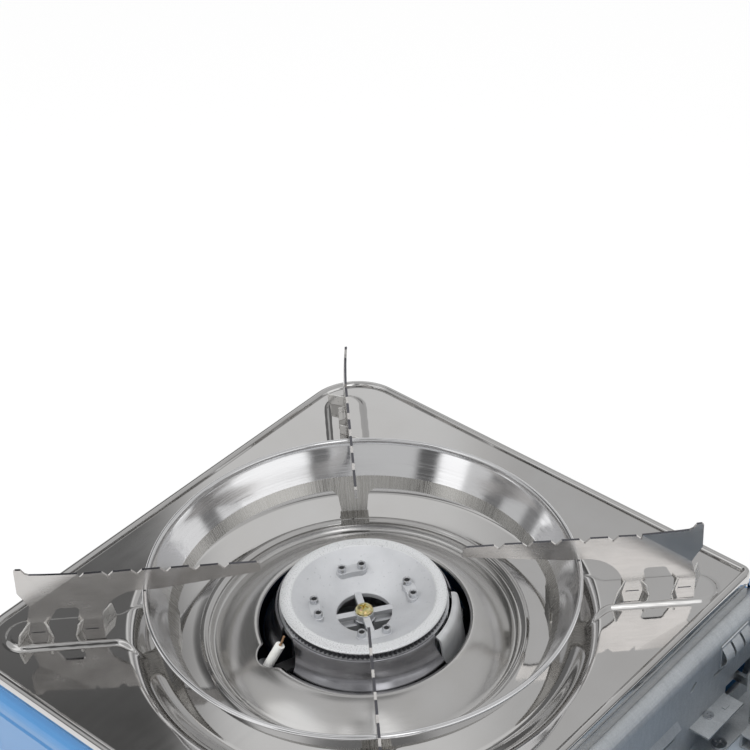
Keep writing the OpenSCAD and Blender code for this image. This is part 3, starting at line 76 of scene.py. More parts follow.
ARM_T, ARM_Z, ARM_TIP, ARM_END = 1.2, 35.8, 45.0, 154.0
NOTCH0, NOTCH_PITCH, NOTCH_DEPTH, NOTCHES = 61.5, 12.85, 2.6, 6
ARM_LEGS = ((116.6, 129.4), (141.0, 153.0))
ARM_FOLD = ((126.0, ARM_Z), (149.3, 18.3))  # crease that sets the outer corner back
ARM_HEM = 8.3                               # fold line above the feet
STRIP_SET = 0.35                            # the feet stand this far behind the sheet
TAB_SPLAY, TAB_BEND, TAB_T = 1.6, 1.5, 0.9  # a tab leans in over its leg

CAP_R, CAP_Z, CAP_HOLE_R, DISH_IN_R, CAP_SLOPE = 38.1, 11.9, 12.6, 32.4, 0.56
NOZZLE_RING_R, NOZZLE_R, NOZZLE_TOP, BORE_R, BORE_DEPTH = 22.5, 2.0, 4.0, 1.2, 0.9
PAD_ANGLES = ((134, 158), (-138, -114), (47, 70), (-51, -22))   # two nozzles on each pad
PAD_HALF = 2.5
SPOKE_ANGLE, SPOKE_HALF = 55.0, 1.6
PORTS, PORT_R, PORT_IN_R, PORT_CUT, PORT_LOW = 108, 37.5, 33.0, 1.2, 7.2
SKIRT_BACK, SKIRT_FRONT = (50.0, 196.5, 120), (268.0, 95.5, 70)     # start, turn and steps
SKIRT_EDGE, SKIRT_SLANT = -70, 0.028        # the edge at the electrode that slants with height

HOOD = (4.2, 48.5)                          # angles between which the heat plate's hood stands
CAN_X, CAN_Z, CONTACT_R, STRIP_X, STRIP_Z, STRIP_Y = 168.5, 43.0, 34.6, 42.8, 58.0, (-1.6, 14.4)


# ---- mesh building ----

def place(points):
    """Points about the burner's axis, in millimetres, as metres in the model's frame."""
    return [((x + BURNER_X) * MM, (y + BURNER_Y) * MM, z * MM) for x, y, z in points]


def shown(obj):
    """Puts an object in the scene."""
    bpy.context.scene.collection.objects.link(obj)
    return obj


def make(name, points, faces, finish, body, slot, stands_for=(), crease=35.0):
    """A mesh piece that rides on a body, with its edges sharp above the crease angle."""
    mesh = bpy.data.meshes.new(name)
    mesh.from_pydata(place(points), [], faces)
    mesh.validate()
    mesh.shade_smooth()
    mesh.set_sharp_from_angle(angle=math.radians(crease))
    mesh.materials.append(FINISH[finish])
    obj = shown(bpy.data.objects.new(name, mesh))
    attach(obj, body)
    if stands_for:
        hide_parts(*stands_for)
    return obj


def bevel(obj, width, segments=2, angle=30.0, harden=True):
    """Rounds a piece's sharp edges. Width in millimetres."""
    m = obj.modifiers.new("edge", "BEVEL")
    m.width, m.segments = width * MM, segments
    m.limit_method, m.angle_limit = "ANGLE", math.radians(angle)
    m.harden_normals = harden


def thicken(obj, thickness):
    """Gives a sheet its thickness, in millimetres, under its visible face."""
    m = obj.modifiers.new("sheet", "SOLIDIFY")
    m.thickness, m.offset = thickness * MM, -1.0


def polar(r, degrees):
    """Point at radius r and a heading."""
    return r * math.cos(math.radians(degrees)), r * math.sin(math.radians(degrees))


def arc(cx, cy, r, a0, a1, n):
    """Points on an arc from angle a0 to a1, in degrees, in n steps."""
    turned = (polar(r, a0 + (a1 - a0) * i / n) for i in range(n + 1))
    return [(cx + x, cy + y) for x, y in turned]


def smooth(x):
    """0 to 1 with level ends."""
    x = np.clip(x, 0.0, 1.0)
    return x * x * (3 - 2 * x)


def ring_faces(rows, cols, base=0):
    """Quads between rows of cols points, where each row is a closed ring."""
    out = []
    for i in range(rows - 1):
        a, b = base + i * cols, base + (i + 1) * cols
        for j in range(cols):
            k = (j + 1) % cols
            out.append((a + j, a + k, b + k, b + j))
    return out


def turned_faces(count, n, steps=0, closed=True):
    """Quads between profiles of n points that stand one after the other round a circle."""
    out = []
    for i in range(count):
        a, b = i * n, (i + 1) % (steps or count) * n
        for k in range(n if closed else n - 1):
            up = (k + 1) % n
            out.append((a + k, b + k, b + up, a + up))
    return out


def lathe(profile, start=0.0, turn=360.0, count=180):
    """Points and faces of a closed (radius, height) profile turned about the burner's axis."""
    full = abs(turn) >= 360
    steps = count if full else count + 1
    points = [(*polar(r, start + turn * i / count), z) for i in range(steps) for r, z in profile]
    n = len(profile)
    faces = turned_faces(count, n, steps)
    if not full:
        faces.append(tuple(reversed(range(n))))
        faces.append(tuple(range((steps - 1) * n, steps * n)))
    return points, faces


def joined(*parts):
    """Several (points, faces) as one."""
    points, faces = [], []
    for p, f in parts:
        base = len(points)
        points += list(p)
        faces += [tuple(base + i for i in face) for face in f]
    return points, faces


def moved(part, angle=0.0, at=(0.0, 0.0, 0.0)):
    """(points, faces) turned about Z, in degrees, and shifted."""
    c, s = math.cos(math.radians(angle)), math.sin(math.radians(angle))
    points = [(x * c - y * s + at[0], x * s + y * c + at[1], z + at[2]) for x, y, z in part[0]]
    return points, part[1]


def tube(r_out, r_in, z0, z1, count=32, lip=0.0):
    """An upright tube, or a rod if r_in is 0, with its upper edges rounded by lip."""
    def rounded(r, way):
        if not lip:
            return [(r, z1)]
        return [(r + way * lip, z1), (r + way * lip * 0.3, z1 - lip * 0.3), (r, z1 - lip)]

    inner = rounded(r_in, 1) if r_in > 0 else [(0.0, z1)]
    return lathe([(r_in, z0), (r_out, z0)] + rounded(r_out, -1)[::-1] + inner, count=count)


def slab(x0, x1, y0, y1, z0, z1):
    """A plain block as (points, faces), for joining to other forms."""
    points = [(x, y, z) for z in (z0, z1) for y in (y0, y1) for x in (x0, x1)]
    return points, [(0, 2, 3, 1), (4, 5, 7, 6), (0, 1, 5, 4), (2, 6, 7, 3), (0, 4, 6, 2),
                    (1, 3, 7, 5)]


def prism(outline, z0, z1):
    """An upright prism on an outline of (x, y) points."""
    n = len(outline)
    points = [(x, y, z0) for x, y in outline] + [(x, y, z1) for x, y in outline]
    faces = [tuple(reversed(range(n))), tuple(range(n, 2 * n))]
    faces += [(i, (i + 1) % n, n + (i + 1) % n, n + i) for i in range(n)]
    return points, faces


# ---- materials ----

def calc(tree, kind, a, b=0.0):
    """A math node's result. A number is set on its socket, and an output is linked to it."""
    n = tree.nodes.new("ShaderNodeMath")
    n.operation = kind
    for socket, value in zip(n.inputs, (a, b)):
        if isinstance(value, (int, float)):
            socket.default_value = value
        else:
            tree.links.new(value, socket)
    return n.outputs[0]


def ramp(tree, value, low, high, from_low, from_high, kind="LINEAR"):
    """Carries from_low..from_high to low..high, and holds what lies beyond at the ends."""
    n = tree.nodes.new("ShaderNodeMapRange")
    n.interpolation_type = kind
    for name, v in (("From Min", from_low), ("From Max", from_high), ("To Min", low),
                    ("To Max", high)):
        n.inputs[name].default_value = v
    tree.links.new(value, n.inputs["Value"])
    return n.outputs[0]


class Shader:
    """A material's node tree, with short calls for the nodes that the finishes are built from."""

    def __init__(self, name, colour, roughness, metallic=0.0):
        self.material = bpy.data.materials.new(name)
        self.material.use_nodes = True
        self.tree = self.material.node_tree
        self.bsdf = self.tree.nodes["Principled BSDF"]
        self.set("Base Color", (*colour, 1.0))
        self.set("Roughness", roughness)
        self.set("Metallic", metallic)
        self.coords = self.tree.nodes.new("ShaderNodeTexCoord").outputs["Object"]

    def set(self, name, value):
        self.bsdf.inputs[name].default_value = value

    def link(self, output, name):
        self.tree.links.new(output, self.bsdf.inputs[name])

    def math(self, kind, a, b=0.0):
        return calc(self.tree, kind, a, b)

    def noise(self, scale, detail=3.0, rough=0.5, stretch=(1.0, 1.0, 1.0), coords=None):
        """Noise with a grain of about 1000/scale millimetres; a small stretch draws it out."""
        m = self.tree.nodes.new("ShaderNodeMapping")
        m.inputs["Scale"].default_value = stretch
        self.tree.links.new(coords or self.coords, m.inputs["Vector"])
        n = self.tree.nodes.new("ShaderNodeTexNoise")
        n.inputs["Scale"].default_value = scale
        n.inputs["Detail"].default_value = detail
        n.inputs["Roughness"].default_value = rough
        self.tree.links.new(m.outputs[0], n.inputs["Vector"])
        return n.outputs["Fac"]

    def parts(self, vector):
        """The three numbers of a vector."""
        n = self.tree.nodes.new("ShaderNodeSeparateXYZ")
        self.tree.links.new(vector, n.inputs[0])
        return n.outputs

    def facing(self):
        """The way a face looks, as three numbers, before any smoothing or relief."""
        geometry = self.tree.nodes.new("ShaderNodeNewGeometry")
        return self.parts(geometry.outputs["True Normal"])

    def round_burner(self, along=1.0):
        """Coordinates round the burner's axis: angle times along, then height and radius in m."""
        at = self.parts(self.coords)
        x = self.math("SUBTRACT", at[0], BURNER_X * MM)
        y = self.math("SUBTRACT", at[1], BURNER_Y * MM)
        c = self.tree.nodes.new("ShaderNodeCombineXYZ")
        angle = self.math("ARCTAN2", y, x)
        self.tree.links.new(self.math("MULTIPLY", angle, along), c.inputs[0])
        self.tree.links.new(at[2], c.inputs[1])
        square = self.math("ADD", self.math("MULTIPLY", x, x), self.math("MULTIPLY", y, y))
        self.tree.links.new(self.math("SQRT", square), c.inputs[2])
        return c.outputs[0]

    def spread(self, value, low, high, from_low=0.3, from_high=0.7):
        return ramp(self.tree, value, low, high, from_low, from_high)

    def mix(self, fac, a, b):
        """Colour a where fac is 0 and b where it is 1."""
        n = self.tree.nodes.new("ShaderNodeMix")
        n.data_type = "RGBA"
        for socket, value in ((n.inputs[0], fac), (n.inputs[6], a), (n.inputs[7], b)):
            if isinstance(value, tuple):
                socket.default_value = (*value, 1.0)
            else:
                self.tree.links.new(value, socket)
        return n.outputs[2]

    def drift(self, noise, a, b):
        """Colour that drifts between a and b."""
        return self.mix(self.spread(noise, 0.0, 1.0), a, b)

    def bump(self, height, distance, strength=1.0):
        """Relief of the given depth in millimetres, on top of any relief so far."""
        n = self.tree.nodes.new("ShaderNodeBump")
        n.inputs["Strength"].default_value = strength
        n.inputs["Distance"].default_value = distance * MM
        self.tree.links.new(height, n.inputs["Height"])
        normal = self.bsdf.inputs["Normal"]
        if normal.is_linked:
            self.tree.links.new(normal.links[0].from_socket, n.inputs["Normal"])
        self.link(n.outputs[0], "Normal")


def mirror_steel():
    """Bright stainless sheet: a mirror with faint haze, rolling waves and wiping marks."""
    s = Shader("mirror_steel_finish", (0.62, 0.61, 0.60), 0.05, 1.0)
    haze = s.noise(26.0, 4.0)
    wipes = s.noise(220.0, 3.0, 0.6, (1.0, 0.12, 1.0))
    s.link(s.math("ADD", s.spread(haze, 0.02, 0.07), s.spread(wipes, 0.0, 0.035)), "Roughness")
    s.link(s.drift(haze, (0.60, 0.59, 0.58), (0.64, 0.635, 0.63)), "Base Color")
    s.bump(s.noise(9.0, 1.0), 0.05, 0.35)
    return s.material


def satin_dish():
    """Drawn stainless of the drip dish: softer than the plate, with marks that run round it."""
    s = Shader("satin_dish_finish", (0.62, 0.61, 0.60), 0.2, 1.0)
    haze = s.noise(34.0, 4.0)
    turned = s.noise(60.0, 4.0, 0.6, (0.3, 20.0, 20.0), s.round_burner(0.06))
    s.link(s.math("ADD", s.spread(haze, 0.13, 0.2), s.spread(turned, 0.0, 0.07)), "Roughness")
    s.link(s.drift(haze, (0.60, 0.59, 0.575), (0.66, 0.655, 0.65)), "Base Color")
    s.bump(s.noise(14.0, 2.0), 0.06, 0.4)
    return s.material


def polished_ring():
    """Spun stainless of the windshield: bright, with fine marks that run round it."""
    s = Shader("polished_ring_finish", (0.80, 0.80, 0.81), 0.08, 1.0)
    turned = s.noise(60.0, 4.0, 0.6, (0.35, 30.0, 30.0), s.round_burner(0.09))
    s.link(s.spread(turned, 0.05, 0.16), "Roughness")
    s.bump(s.noise(30.0, 2.0), 0.06, 0.5)
    return s.material


def brushed_band():
    """Lower band of the windshield, brushed upright and darker."""
    s = Shader("brushed_band_finish", (0.50, 0.495, 0.48), 0.22, 1.0)
    brushed = s.noise(60.0, 4.0, 0.7, (30.0, 0.6, 0.6), s.round_burner(0.09))
    s.link(s.spread(brushed, 0.16, 0.34), "Roughness")
    s.link(s.drift(brushed, (0.38, 0.37, 0.35), (0.62, 0.61, 0.59)), "Base Color")
    s.bump(brushed, 0.03, 0.5)
    return s.material


def arm_steel():
    """Stamped stainless of the pan arms, duller than the plate, with dark sheared top edges."""
    s = Shader("arm_steel_finish", (0.60, 0.59, 0.575), 0.2, 0.93)
    cloud = s.noise(55.0, 4.0)
    streak = s.noise(400.0, 2.0, 0.6, (0.2, 0.2, 2.0))
    s.link(s.math("ADD", s.spread(cloud, 0.14, 0.24), s.spread(streak, 0.0, 0.05)), "Roughness")
    tone = s.drift(cloud, (0.57, 0.55, 0.535), (0.64, 0.625, 0.61))
    sheared = s.spread(s.math("ABSOLUTE", s.facing()[2]), 0.0, 1.0, 0.93, 0.97)
    s.link(s.mix(sheared, tone, (0.13, 0.13, 0.145)), "Base Color")
    s.bump(s.noise(20.0, 2.0), 0.08, 0.4)
    return s.material


def cast_alloy():
    """Die-cast aluminium as blasted: matte, light and finely pitted, smoother on the cap's rim,
    which is painted lighter there as a painted highlight.
    """
    s = Shader("cast_alloy_finish", (0.62, 0.63, 0.65), 0.46, 0.5)
    grain = s.noise(1900.0, 3.0, 0.6)
    cloud = s.noise(70.0, 4.0)
    speck = s.noise(650.0, 1.0)
    tone = s.drift(cloud, (0.57, 0.58, 0.60), (0.66, 0.67, 0.69))
    _, height, radius = s.parts(s.round_burner())
    # painted highlight: the cap's flat rim is painted lighter; it is also made smoother below
    rim = s.math("MULTIPLY", s.spread(radius, 0.0, 1.0, 0.0324, 0.0328),
                 s.math("MULTIPLY", s.spread(radius, 1.0, 0.0, 0.0392, 0.0400),
                        s.spread(height, 0.0, 1.0, 0.0848, 0.0850)))
    tone = s.mix(rim, tone, (0.71, 0.72, 0.73))
    s.link(s.mix(s.spread(speck, 0.0, 0.6, 0.68, 0.78), tone, (0.38, 0.39, 0.41)), "Base Color")
    smoother = s.math("MULTIPLY", rim, 0.14)
    s.link(s.math("SUBTRACT", s.spread(grain, 0.36, 0.56), smoother), "Roughness")
    s.bump(grain, 0.06, 0.6)
    s.bump(cloud, 0.06, 0.4)
    return s.material


def skirt_steel():
    """Dark polished steel of the burner's skirt."""
    s = Shader("skirt_steel_finish", (0.34, 0.34, 0.36), 0.2, 1.0)
    cloud = s.noise(90.0, 4.0)
    turned = s.noise(60.0, 3.0, 0.6, (0.4, 30.0, 30.0), s.round_burner(0.04))
    s.link(s.math("ADD", s.spread(cloud, 0.13, 0.22), s.spread(turned, 0.0, 0.06)), "Roughness")
    s.link(s.drift(cloud, (0.30, 0.30, 0.32), (0.40, 0.40, 0.42)), "Base Color")
    return s.material


def galvanised():
    """Zinc coated sheet: pale blue-grey and satin, with a fine grain drawn along it."""
    s = Shader("galvanised_finish", (0.40, 0.43, 0.45), 0.42, 0.45)
    grain = s.noise(1300.0, 3.0, 0.7)
    drawn = s.noise(500.0, 3.0, 0.6, (0.25, 1.0, 0.25))
    cloud = s.noise(40.0, 4.0)
    tone = s.drift(cloud, (0.46, 0.48, 0.495), (0.57, 0.59, 0.60))
    tone = s.mix(s.spread(drawn, 0.0, 0.45), tone, (0.70, 0.72, 0.73))
    s.link(s.mix(s.spread(grain, 0.0, 0.45), tone, (0.30, 0.32, 0.34)), "Base Color")
    s.link(s.spread(cloud, 0.36, 0.5), "Roughness")
    s.bump(grain, 0.03, 0.35)
    s.bump(s.noise(14.0, 2.0), 0.3, 0.3)
    return s.material


def plain_steel(name="plain_steel_finish", colour=(0.55, 0.56, 0.57), roughness=0.3, metallic=1.0):
    """Plain metal, faintly clouded and scuffed, for sheets, screws and small turned parts."""
    s = Shader(name, colour, roughness, metallic)
    cloud = s.noise(120.0, 4.0)
    low, high = tuple(c * 0.88 for c in colour), tuple(min(1.0, c * 1.1) for c in colour)
    s.link(s.drift(cloud, low, high), "Base Color")
    s.link(s.spread(cloud, roughness - 0.06, roughness + 0.1), "Roughness")
    s.bump(s.noise(900.0, 2.0), 0.02, 0.3)
    return s.material


def yellow_zinc():
    """Passivated zinc: brassy yellow that turns pink and green over a few millimetres."""
    s = Shader("yellow_zinc_finish", (0.80, 0.70, 0.34), 0.24, 1.0)
    film = s.noise(330.0, 2.0)
    tone = s.mix(s.spread(film, 0.0, 1.0, 0.35, 0.55), (0.90, 0.82, 0.46), (0.76, 0.62, 0.26))
    tone = s.mix(s.spread(film, 0.0, 0.7, 0.56, 0.66), tone, (0.86, 0.48, 0.50))
    green = s.spread(s.noise(410.0, 1.0), 0.0, 0.5, 0.6, 0.7)
    s.link(s.mix(green, tone, (0.42, 0.55, 0.30)), "Base Color")
    s.link(s.spread(film, 0.18, 0.32), "Roughness")
    return s.material


BAY = ((0.0670, 0.1543), (-0.1272, 0.1472), (0.0066, 0.0620))   # cartridge bay in the model, in m
BAY_EDGE = 0.0002                               # its colour fades over this much on either side
FLOOR_TOP = (0.0064, 0.0067)                    # the body's floor, just above its lower face
PAINTED_SHADE_R = (0.096, 0.118)                         # the floor is painted black under the burner, as painted shade, to here


def blue_paint():
    """Glossy light blue enamel with a soft orange peel, painted near black under the burner as
    painted shade, and blue-grey on the cartridge bay's inner faces."""
    s = Shader("blue_paint_finish", (0.085, 0.27, 0.56), 0.32, 0.0)
    cloud = s.noise(18.0, 3.0)
    paint = s.drift(cloud, (0.078, 0.26, 0.545), (0.095, 0.285, 0.58))
    _, height, radius = s.parts(s.round_burner())
    # painted shade: the floor's upper face turns near black under the burner, where shade falls
    under = s.math("MULTIPLY", s.spread(radius, 1.0, 0.0, *PAINTED_SHADE_R),
                   s.spread(height, 0.0, 1.0, *FLOOR_TOP))
    paint = s.mix(under, paint, (0.016, 0.018, 0.021))
    at, facing = s.parts(s.coords), s.facing()
    inside, outward = 1.0, 0.0
    for axis, (low, high) in enumerate(BAY):
        off, half = s.math("SUBTRACT", at[axis], 0.5 * (low + high)), 0.5 * (high - low)
        within = s.spread(s.math("ABSOLUTE", off), 1.0, 0.0, half - BAY_EDGE, half + BAY_EDGE)
        inside = s.math("MULTIPLY", within, inside)
        outward = s.math("ADD", s.math("MULTIPLY", off, facing[axis]), outward)
    inside = s.math("MULTIPLY", inside, s.spread(outward, 1.0, 0.0, -0.0005, 0.0))
    s.link(s.mix(inside, paint, (0.40, 0.45, 0.50)), "Base Color")
    s.set("Coat Weight", 0.6)
    s.set("Coat Roughness", 0.06)
    s.bump(s.noise(260.0, 2.0), 0.03, 0.35)
    return s.material


def moulded(name, colour, roughness=0.45):
    """Moulded plastic or rubber with a fine spark-eroded grain."""
    s = Shader(name, colour, roughness, 0.0)
    grain = s.noise(2200.0, 2.0)
    cloud = s.noise(60.0, 3.0)
    lighter = tuple(min(1.0, c * 1.25 + 0.003) for c in colour)
    s.link(s.drift(cloud, colour, lighter), "Base Color")
    s.link(s.spread(grain, roughness - 0.06, roughness + 0.1), "Roughness")
    s.bump(grain, 0.03, 0.5)
    return s.material


def white_ceramic():
    """Unglazed white porcelain, faintly mottled."""
    s = Shader("white_ceramic_finish", (0.86, 0.86, 0.83), 0.35, 0.0)
    cloud = s.noise(260.0, 4.0)
    s.link(s.drift(cloud, (0.80, 0.80, 0.77), (0.90, 0.90, 0.88)), "Base Color")
    s.link(s.spread(cloud, 0.25, 0.42), "Roughness")
    s.bump(s.noise(1500.0, 2.0), 0.02, 0.4)
    return s.material


FINISH = {f.__name__: f() for f in (
    mirror_steel, satin_dish, polished_ring, brushed_band, arm_steel, cast_alloy, skirt_steel,
    galvanised, plain_steel, yellow_zinc, white_ceramic, blue_paint)}
for key, *look in (("port_alloy", (0.20, 0.20, 0.21), 0.45),
                   ("dull_steel", (0.62, 0.63, 0.64), 0.42, 0.5),
                   # painted highlight: a lighter, less metallic copy of the arm steel, for the
                   # arms' folded tabs
                   ("tab_steel", (0.70, 0.69, 0.67), 0.26, 0.6),
                   ("zinc_screw", (0.62, 0.63, 0.65), 0.26),
                   ("brass", (0.66, 0.48, 0.20), 0.25),
                   ("copper_wire", (0.55, 0.34, 0.20), 0.3)):
    FINISH[key] = plain_steel(key + "_finish", *look)
for key, *look in (("black_plastic", (0.014, 0.014, 0.015), 0.38),
                   ("grey_plastic", (0.16, 0.16, 0.17), 0.42),
                   ("lead_sleeve", (0.72, 0.71, 0.68), 0.4),
                   ("rubber", (0.02, 0.02, 0.021), 0.6)):
    FINISH[key] = moulded(key + "_finish", *look)


# ---- top plate ----

def plate_outline(inset, spacing):
    """Points round the plate as (x, y, outward x, outward y), moved in from its edge by inset."""
    x0, x1, y0, y1 = PLATE
    r = PLATE_RADII
    corners = ((x1 - r[0], y0 + r[0], r[0], -90), (x1 - r[1], y1 - r[1], r[1], 0),
               (x0 + r[2], y1 - r[2], r[2], 90), (x0 + r[3], y0 + r[3], r[3], 180))
    out = []
    for i, (cx, cy, radius, start) in enumerate(corners):
        steps = max(8, int(radius * 1.6 / spacing))
        for k in range(steps + 1):
            a = math.radians(start + 90 * k / steps)
            c, s = math.cos(a), math.sin(a)
            out.append((cx + (radius - inset) * c, cy + (radius - inset) * s, c, s))
        nx, ny, nr, nstart = corners[(i + 1) % 4]
        a = math.radians(start + 90)
        ax, ay = cx + (radius - inset) * math.cos(a), cy + (radius - inset) * math.sin(a)
        b = math.radians(nstart)
        bx, by = nx + (nr - inset) * math.cos(b), ny + (nr - inset) * math.sin(b)
        steps = int(math.hypot(bx - ax, by - ay) / spacing)
        for k in range(1, steps):
            t = k / steps
            out.append((ax + (bx - ax) * t, ay + (by - ay) * t, math.cos(a), math.sin(a)))
    return out


def seat_shape(x, y):
    """How deep a point lies inside a pan arm's seat, in millimetres. A seat is a slot along the
    diagonal that widens at the well."""
    best = np.full(np.shape(x), -99.0)
    for turn in QUARTERS:
        c, s = math.cos(math.radians(turn)), math.sin(math.radians(turn))
        along, across = x * c + y * s, np.abs(-x * s + y * c)
        flare = SEAT_FLARE * smooth((SEAT_IN + SEAT_ROOT - along) / (2 * SEAT_ROOT))
        past = np.maximum(along - SEAT_OUT, 0.0) + np.maximum(SEAT_IN - SEAT_ROOT - along, 0.0) * 3
        best = np.maximum(best, SEAT_HALF + flare - np.hypot(past, across))
    return best


def plate_height(x, y):
    """Height of the plate's upper face above the rim plane."""
    r = np.hypot(x, y)
    t = np.clip((r - WELL_FLOOR_R) / (WELL_R - WELL_FLOOR_R), 0.0, 1.0)
    well = -WELL_DEPTH * (1 + np.cos(np.pi * t)) / 2
    seat = SEAT_H * smooth(seat_shape(x, y) / SEAT_EDGE)
    bead = HOLE_BEAD * np.exp(-((r - WELL_HOLE_R - 2.0) / 1.1) ** 2)
    return np.where(r >= WELL_R - 0.01, seat, well + bead + seat * smooth((r - WELL_R + 9.0) / 9.0))


def top_plate():
    """The stainless top: eased well, four raised seats, hollow bead and hem."""
    rim = plate_outline(BEAD, 1.0)
    count = len(rim)
    angle = [math.atan2(p[1], p[0]) for p in rim]
    radii = [np.linspace(WELL_HOLE_R, 76.0, 12), np.linspace(79.0, WELL_FLOOR_R - 0.8, 4),
             np.linspace(WELL_FLOOR_R, WELL_R, 26)]
    rows = [[(r * math.cos(a), r * math.sin(a)) for a in angle] for r in np.concatenate(radii)]
    for t in np.linspace(0.0, 1.0, 61)[1:]:
        rows.append([(WELL_R * math.cos(a) * (1 - t) + p[0] * t,
                      WELL_R * math.sin(a) * (1 - t) + p[1] * t) for a, p in zip(angle, rim)])
    flat = np.array(rows)
    heights = plate_height(flat[..., 0], flat[..., 1])
    points = [(float(x), float(y), RIM_Z + float(h))
              for row, hs in zip(flat, heights) for (x, y), h in zip(row, hs)]
    faces = ring_faces(len(rows), count)
    bead = arc(-BEAD / 2, -BEAD_DROP, BEAD / 2, 180, 0, 14)
    section = [(-BEAD, 0.0)] + bead[1:] + [(0.0, -2.0), (0.0, -HEM)]
    base = len(points)
    for off, h in section:
        points += [(px + (off + BEAD) * nx, py + (off + BEAD) * ny, RIM_Z + h)
                   for px, py, nx, ny in rim]
    faces += ring_faces(len(section), count, base)
    last = base - count
    faces += [(last + j, last + (j + 1) % count, base + (j + 1) % count, base + j)
              for j in range(count)]
    faces = [tuple(reversed(f)) for f in faces]
    obj = make("top_plate_pressing", points, faces, "mirror_steel", "top", "mirror_steel",
               ["top_plate"], 50)
    thicken(obj, PLATE_T)
    x0, x1, (z0, z1) = PLATE[1] - PLATE_T, PLATE[1], FOLD_Z
    fold = [(x, y, z) for y in (PLATE[2] + PLATE_RADII[0], PLATE[3] - PLATE_RADII[1])
            for x, z in ((x0, z0), (x1, z0), (x1, z1), (x0, z1))]
    faces = [(0, 1, 5, 4), (1, 2, 6, 5), (2, 3, 7, 6), (3, 0, 4, 7), (3, 2, 1, 0), (4, 5, 6, 7)]
    side = make("top_plate_skirt", fold, faces, "mirror_steel", "top", "mirror_steel")
    bevel(side, 0.15)


# ---- drip dish ----

def drip_dish():
    """Pressed dish round the burner, notched for the spark electrode."""
    start, edge = DISH_HOLE_R + DISH_LIP, WELL_HOLE_R + DISH_FLANGE
    line = [(start + (GROOVE_R - start) * t, -DISH_EDGE - (GROOVE - DISH_EDGE) * t ** 1.6)
            for t in np.linspace(0, 1, 24)]
    line += [(69.2, -GROOVE - 0.1), (70.0, -10.2), (WELL_HOLE_R - 0.8, DISH_FLANGE_Z),
             (edge, DISH_FLANGE_Z)]
    radii, heights = [p[0] for p in line], [p[1] for p in line]
    count = 288
    levels = np.concatenate([[0.0, 0.05, 0.12], np.linspace(0.2, 1.0, 24)])
    points = []
    for i in range(count):
        heading = 360.0 * i / count
        d = math.radians((heading - NOTCH_TURN + 180) % 360 - 180)
        reach = NOTCH_R ** 2 - (NOTCH_AT * math.sin(d)) ** 2
        in_notch = reach > 0 and abs(d) < 1
        far = NOTCH_AT * math.cos(d) + math.sqrt(reach) if in_notch else 0.0
        inner = max(DISH_HOLE_R, far)
        for t in levels:
            r = inner + (edge - inner) * t
            h = -DISH_EDGE - 0.4 * (1 - t * 4)
            if r > start:
                h = float(np.interp(r, radii, heights))
            points.append((*polar(r, heading), RIM_Z + h))
    faces = [tuple(reversed(f)) for f in turned_faces(count, len(levels), closed=False)]
    obj = make("drip_dish_pressing", points, faces, "satin_dish", "top", "mirror_steel",
               ["drip_dish"], 60)
    thicken(obj, PLATE_T)


# ---- windshield ----

def shield_radius(z):
    """Radius of the windshield's cone at a height above the rim plane."""
    slope = (SHIELD_R - CREASE_R) / (SHIELD_Z - CREASE_Z)
    return CREASE_R - slope * (CREASE_Z - z)


def band_edge(across):
    """Lower edge of the windshield's band, by the distance from the middle of the next leg."""
    if across <= LEG_HALF:
        return LEG_LOW
    if across >= LEG_HALF + LEG_ROOT:
        return BAND_Z
    u = (LEG_HALF + LEG_ROOT - across) / LEG_ROOT
    return BAND_Z - LEG_ROOT + LEG_ROOT * math.sqrt(max(0.0, 1 - u * u))


def windshield():
    """Conical ring with a rolled rim, a brushed band and four legs with curved roots."""
    body = [(SHIELD_R - 0.2, SHIELD_Z + 0.5), (SHIELD_R - 0.7, SHIELD_Z - 0.2),
            (shield_radius(20.9) - 0.1, 20.9), (shield_radius(20.0), 20.0),
            (shield_radius(18.0), 18.0), (shield_radius(13.0), 13.0),
            (CREASE_R + 0.35, CREASE_Z + 0.6), (CREASE_R, CREASE_Z + 0.1)]
    outer = [(CREASE_R + 0.95, CREASE_Z), (SHIELD_R - 0.1, SHIELD_Z - 1.2),
             (SHIELD_R + 0.6, SHIELD_Z - 0.1)]
    cone = lathe([(r, RIM_Z + z) for r, z in body + outer], count=240)
    make("windshield_cone", *cone, "polished_ring", "top", "mirror_steel",
         ["windshield_ring"])
    count = 720
    points = []
    levels = np.linspace(0.0, 1.0, 7)
    for i in range(count):
        heading = 360.0 * i / count
        d, leg = min((abs((heading - t + 180) % 360 - 180), t) for t in QUARTERS)
        low = band_edge(math.radians(d) * LEG_WIDTH_R)
        for side, order in zip(BAND_SIDES, (levels, levels[::-1])):
            for t in order:
                z = CREASE_Z + (low - CREASE_Z) * t
                r = shield_radius(z) if leg == BACK_LEG else max(shield_radius(z), LEG_R)
                points.append((*polar(side + r, heading), RIM_Z + z))
    faces = turned_faces(count, 2 * len(levels))
    make("windshield_band", points, faces, "brushed_band", "top", "mirror_steel")
    middle = RIM_Z + SHIELD_Z + 0.4
    roll = lathe([(SHIELD_R + ROLL_R * math.cos(t), middle + ROLL_R * math.sin(t))
                  for t in np.linspace(0, 2 * math.pi, 17)[:-1]], count=240)
    make("windshield_roll", *roll, "polished_ring", "top", "mirror_steel")
    feet = []
    for turn in QUARTERS:
        near, far = BACK_FOOT if turn == BACK_LEG else (LEG_R, LEG_R + FOOT_REACH)
        top = RIM_Z + LEG_LOW
        feet.append(moved(slab(near, far, -LEG_HALF, LEG_HALF, top - FOOT_T, top), turn))
    make("windshield_feet", *joined(*feet), "brushed_band", "top", "mirror_steel")


# ---- pan arms ----

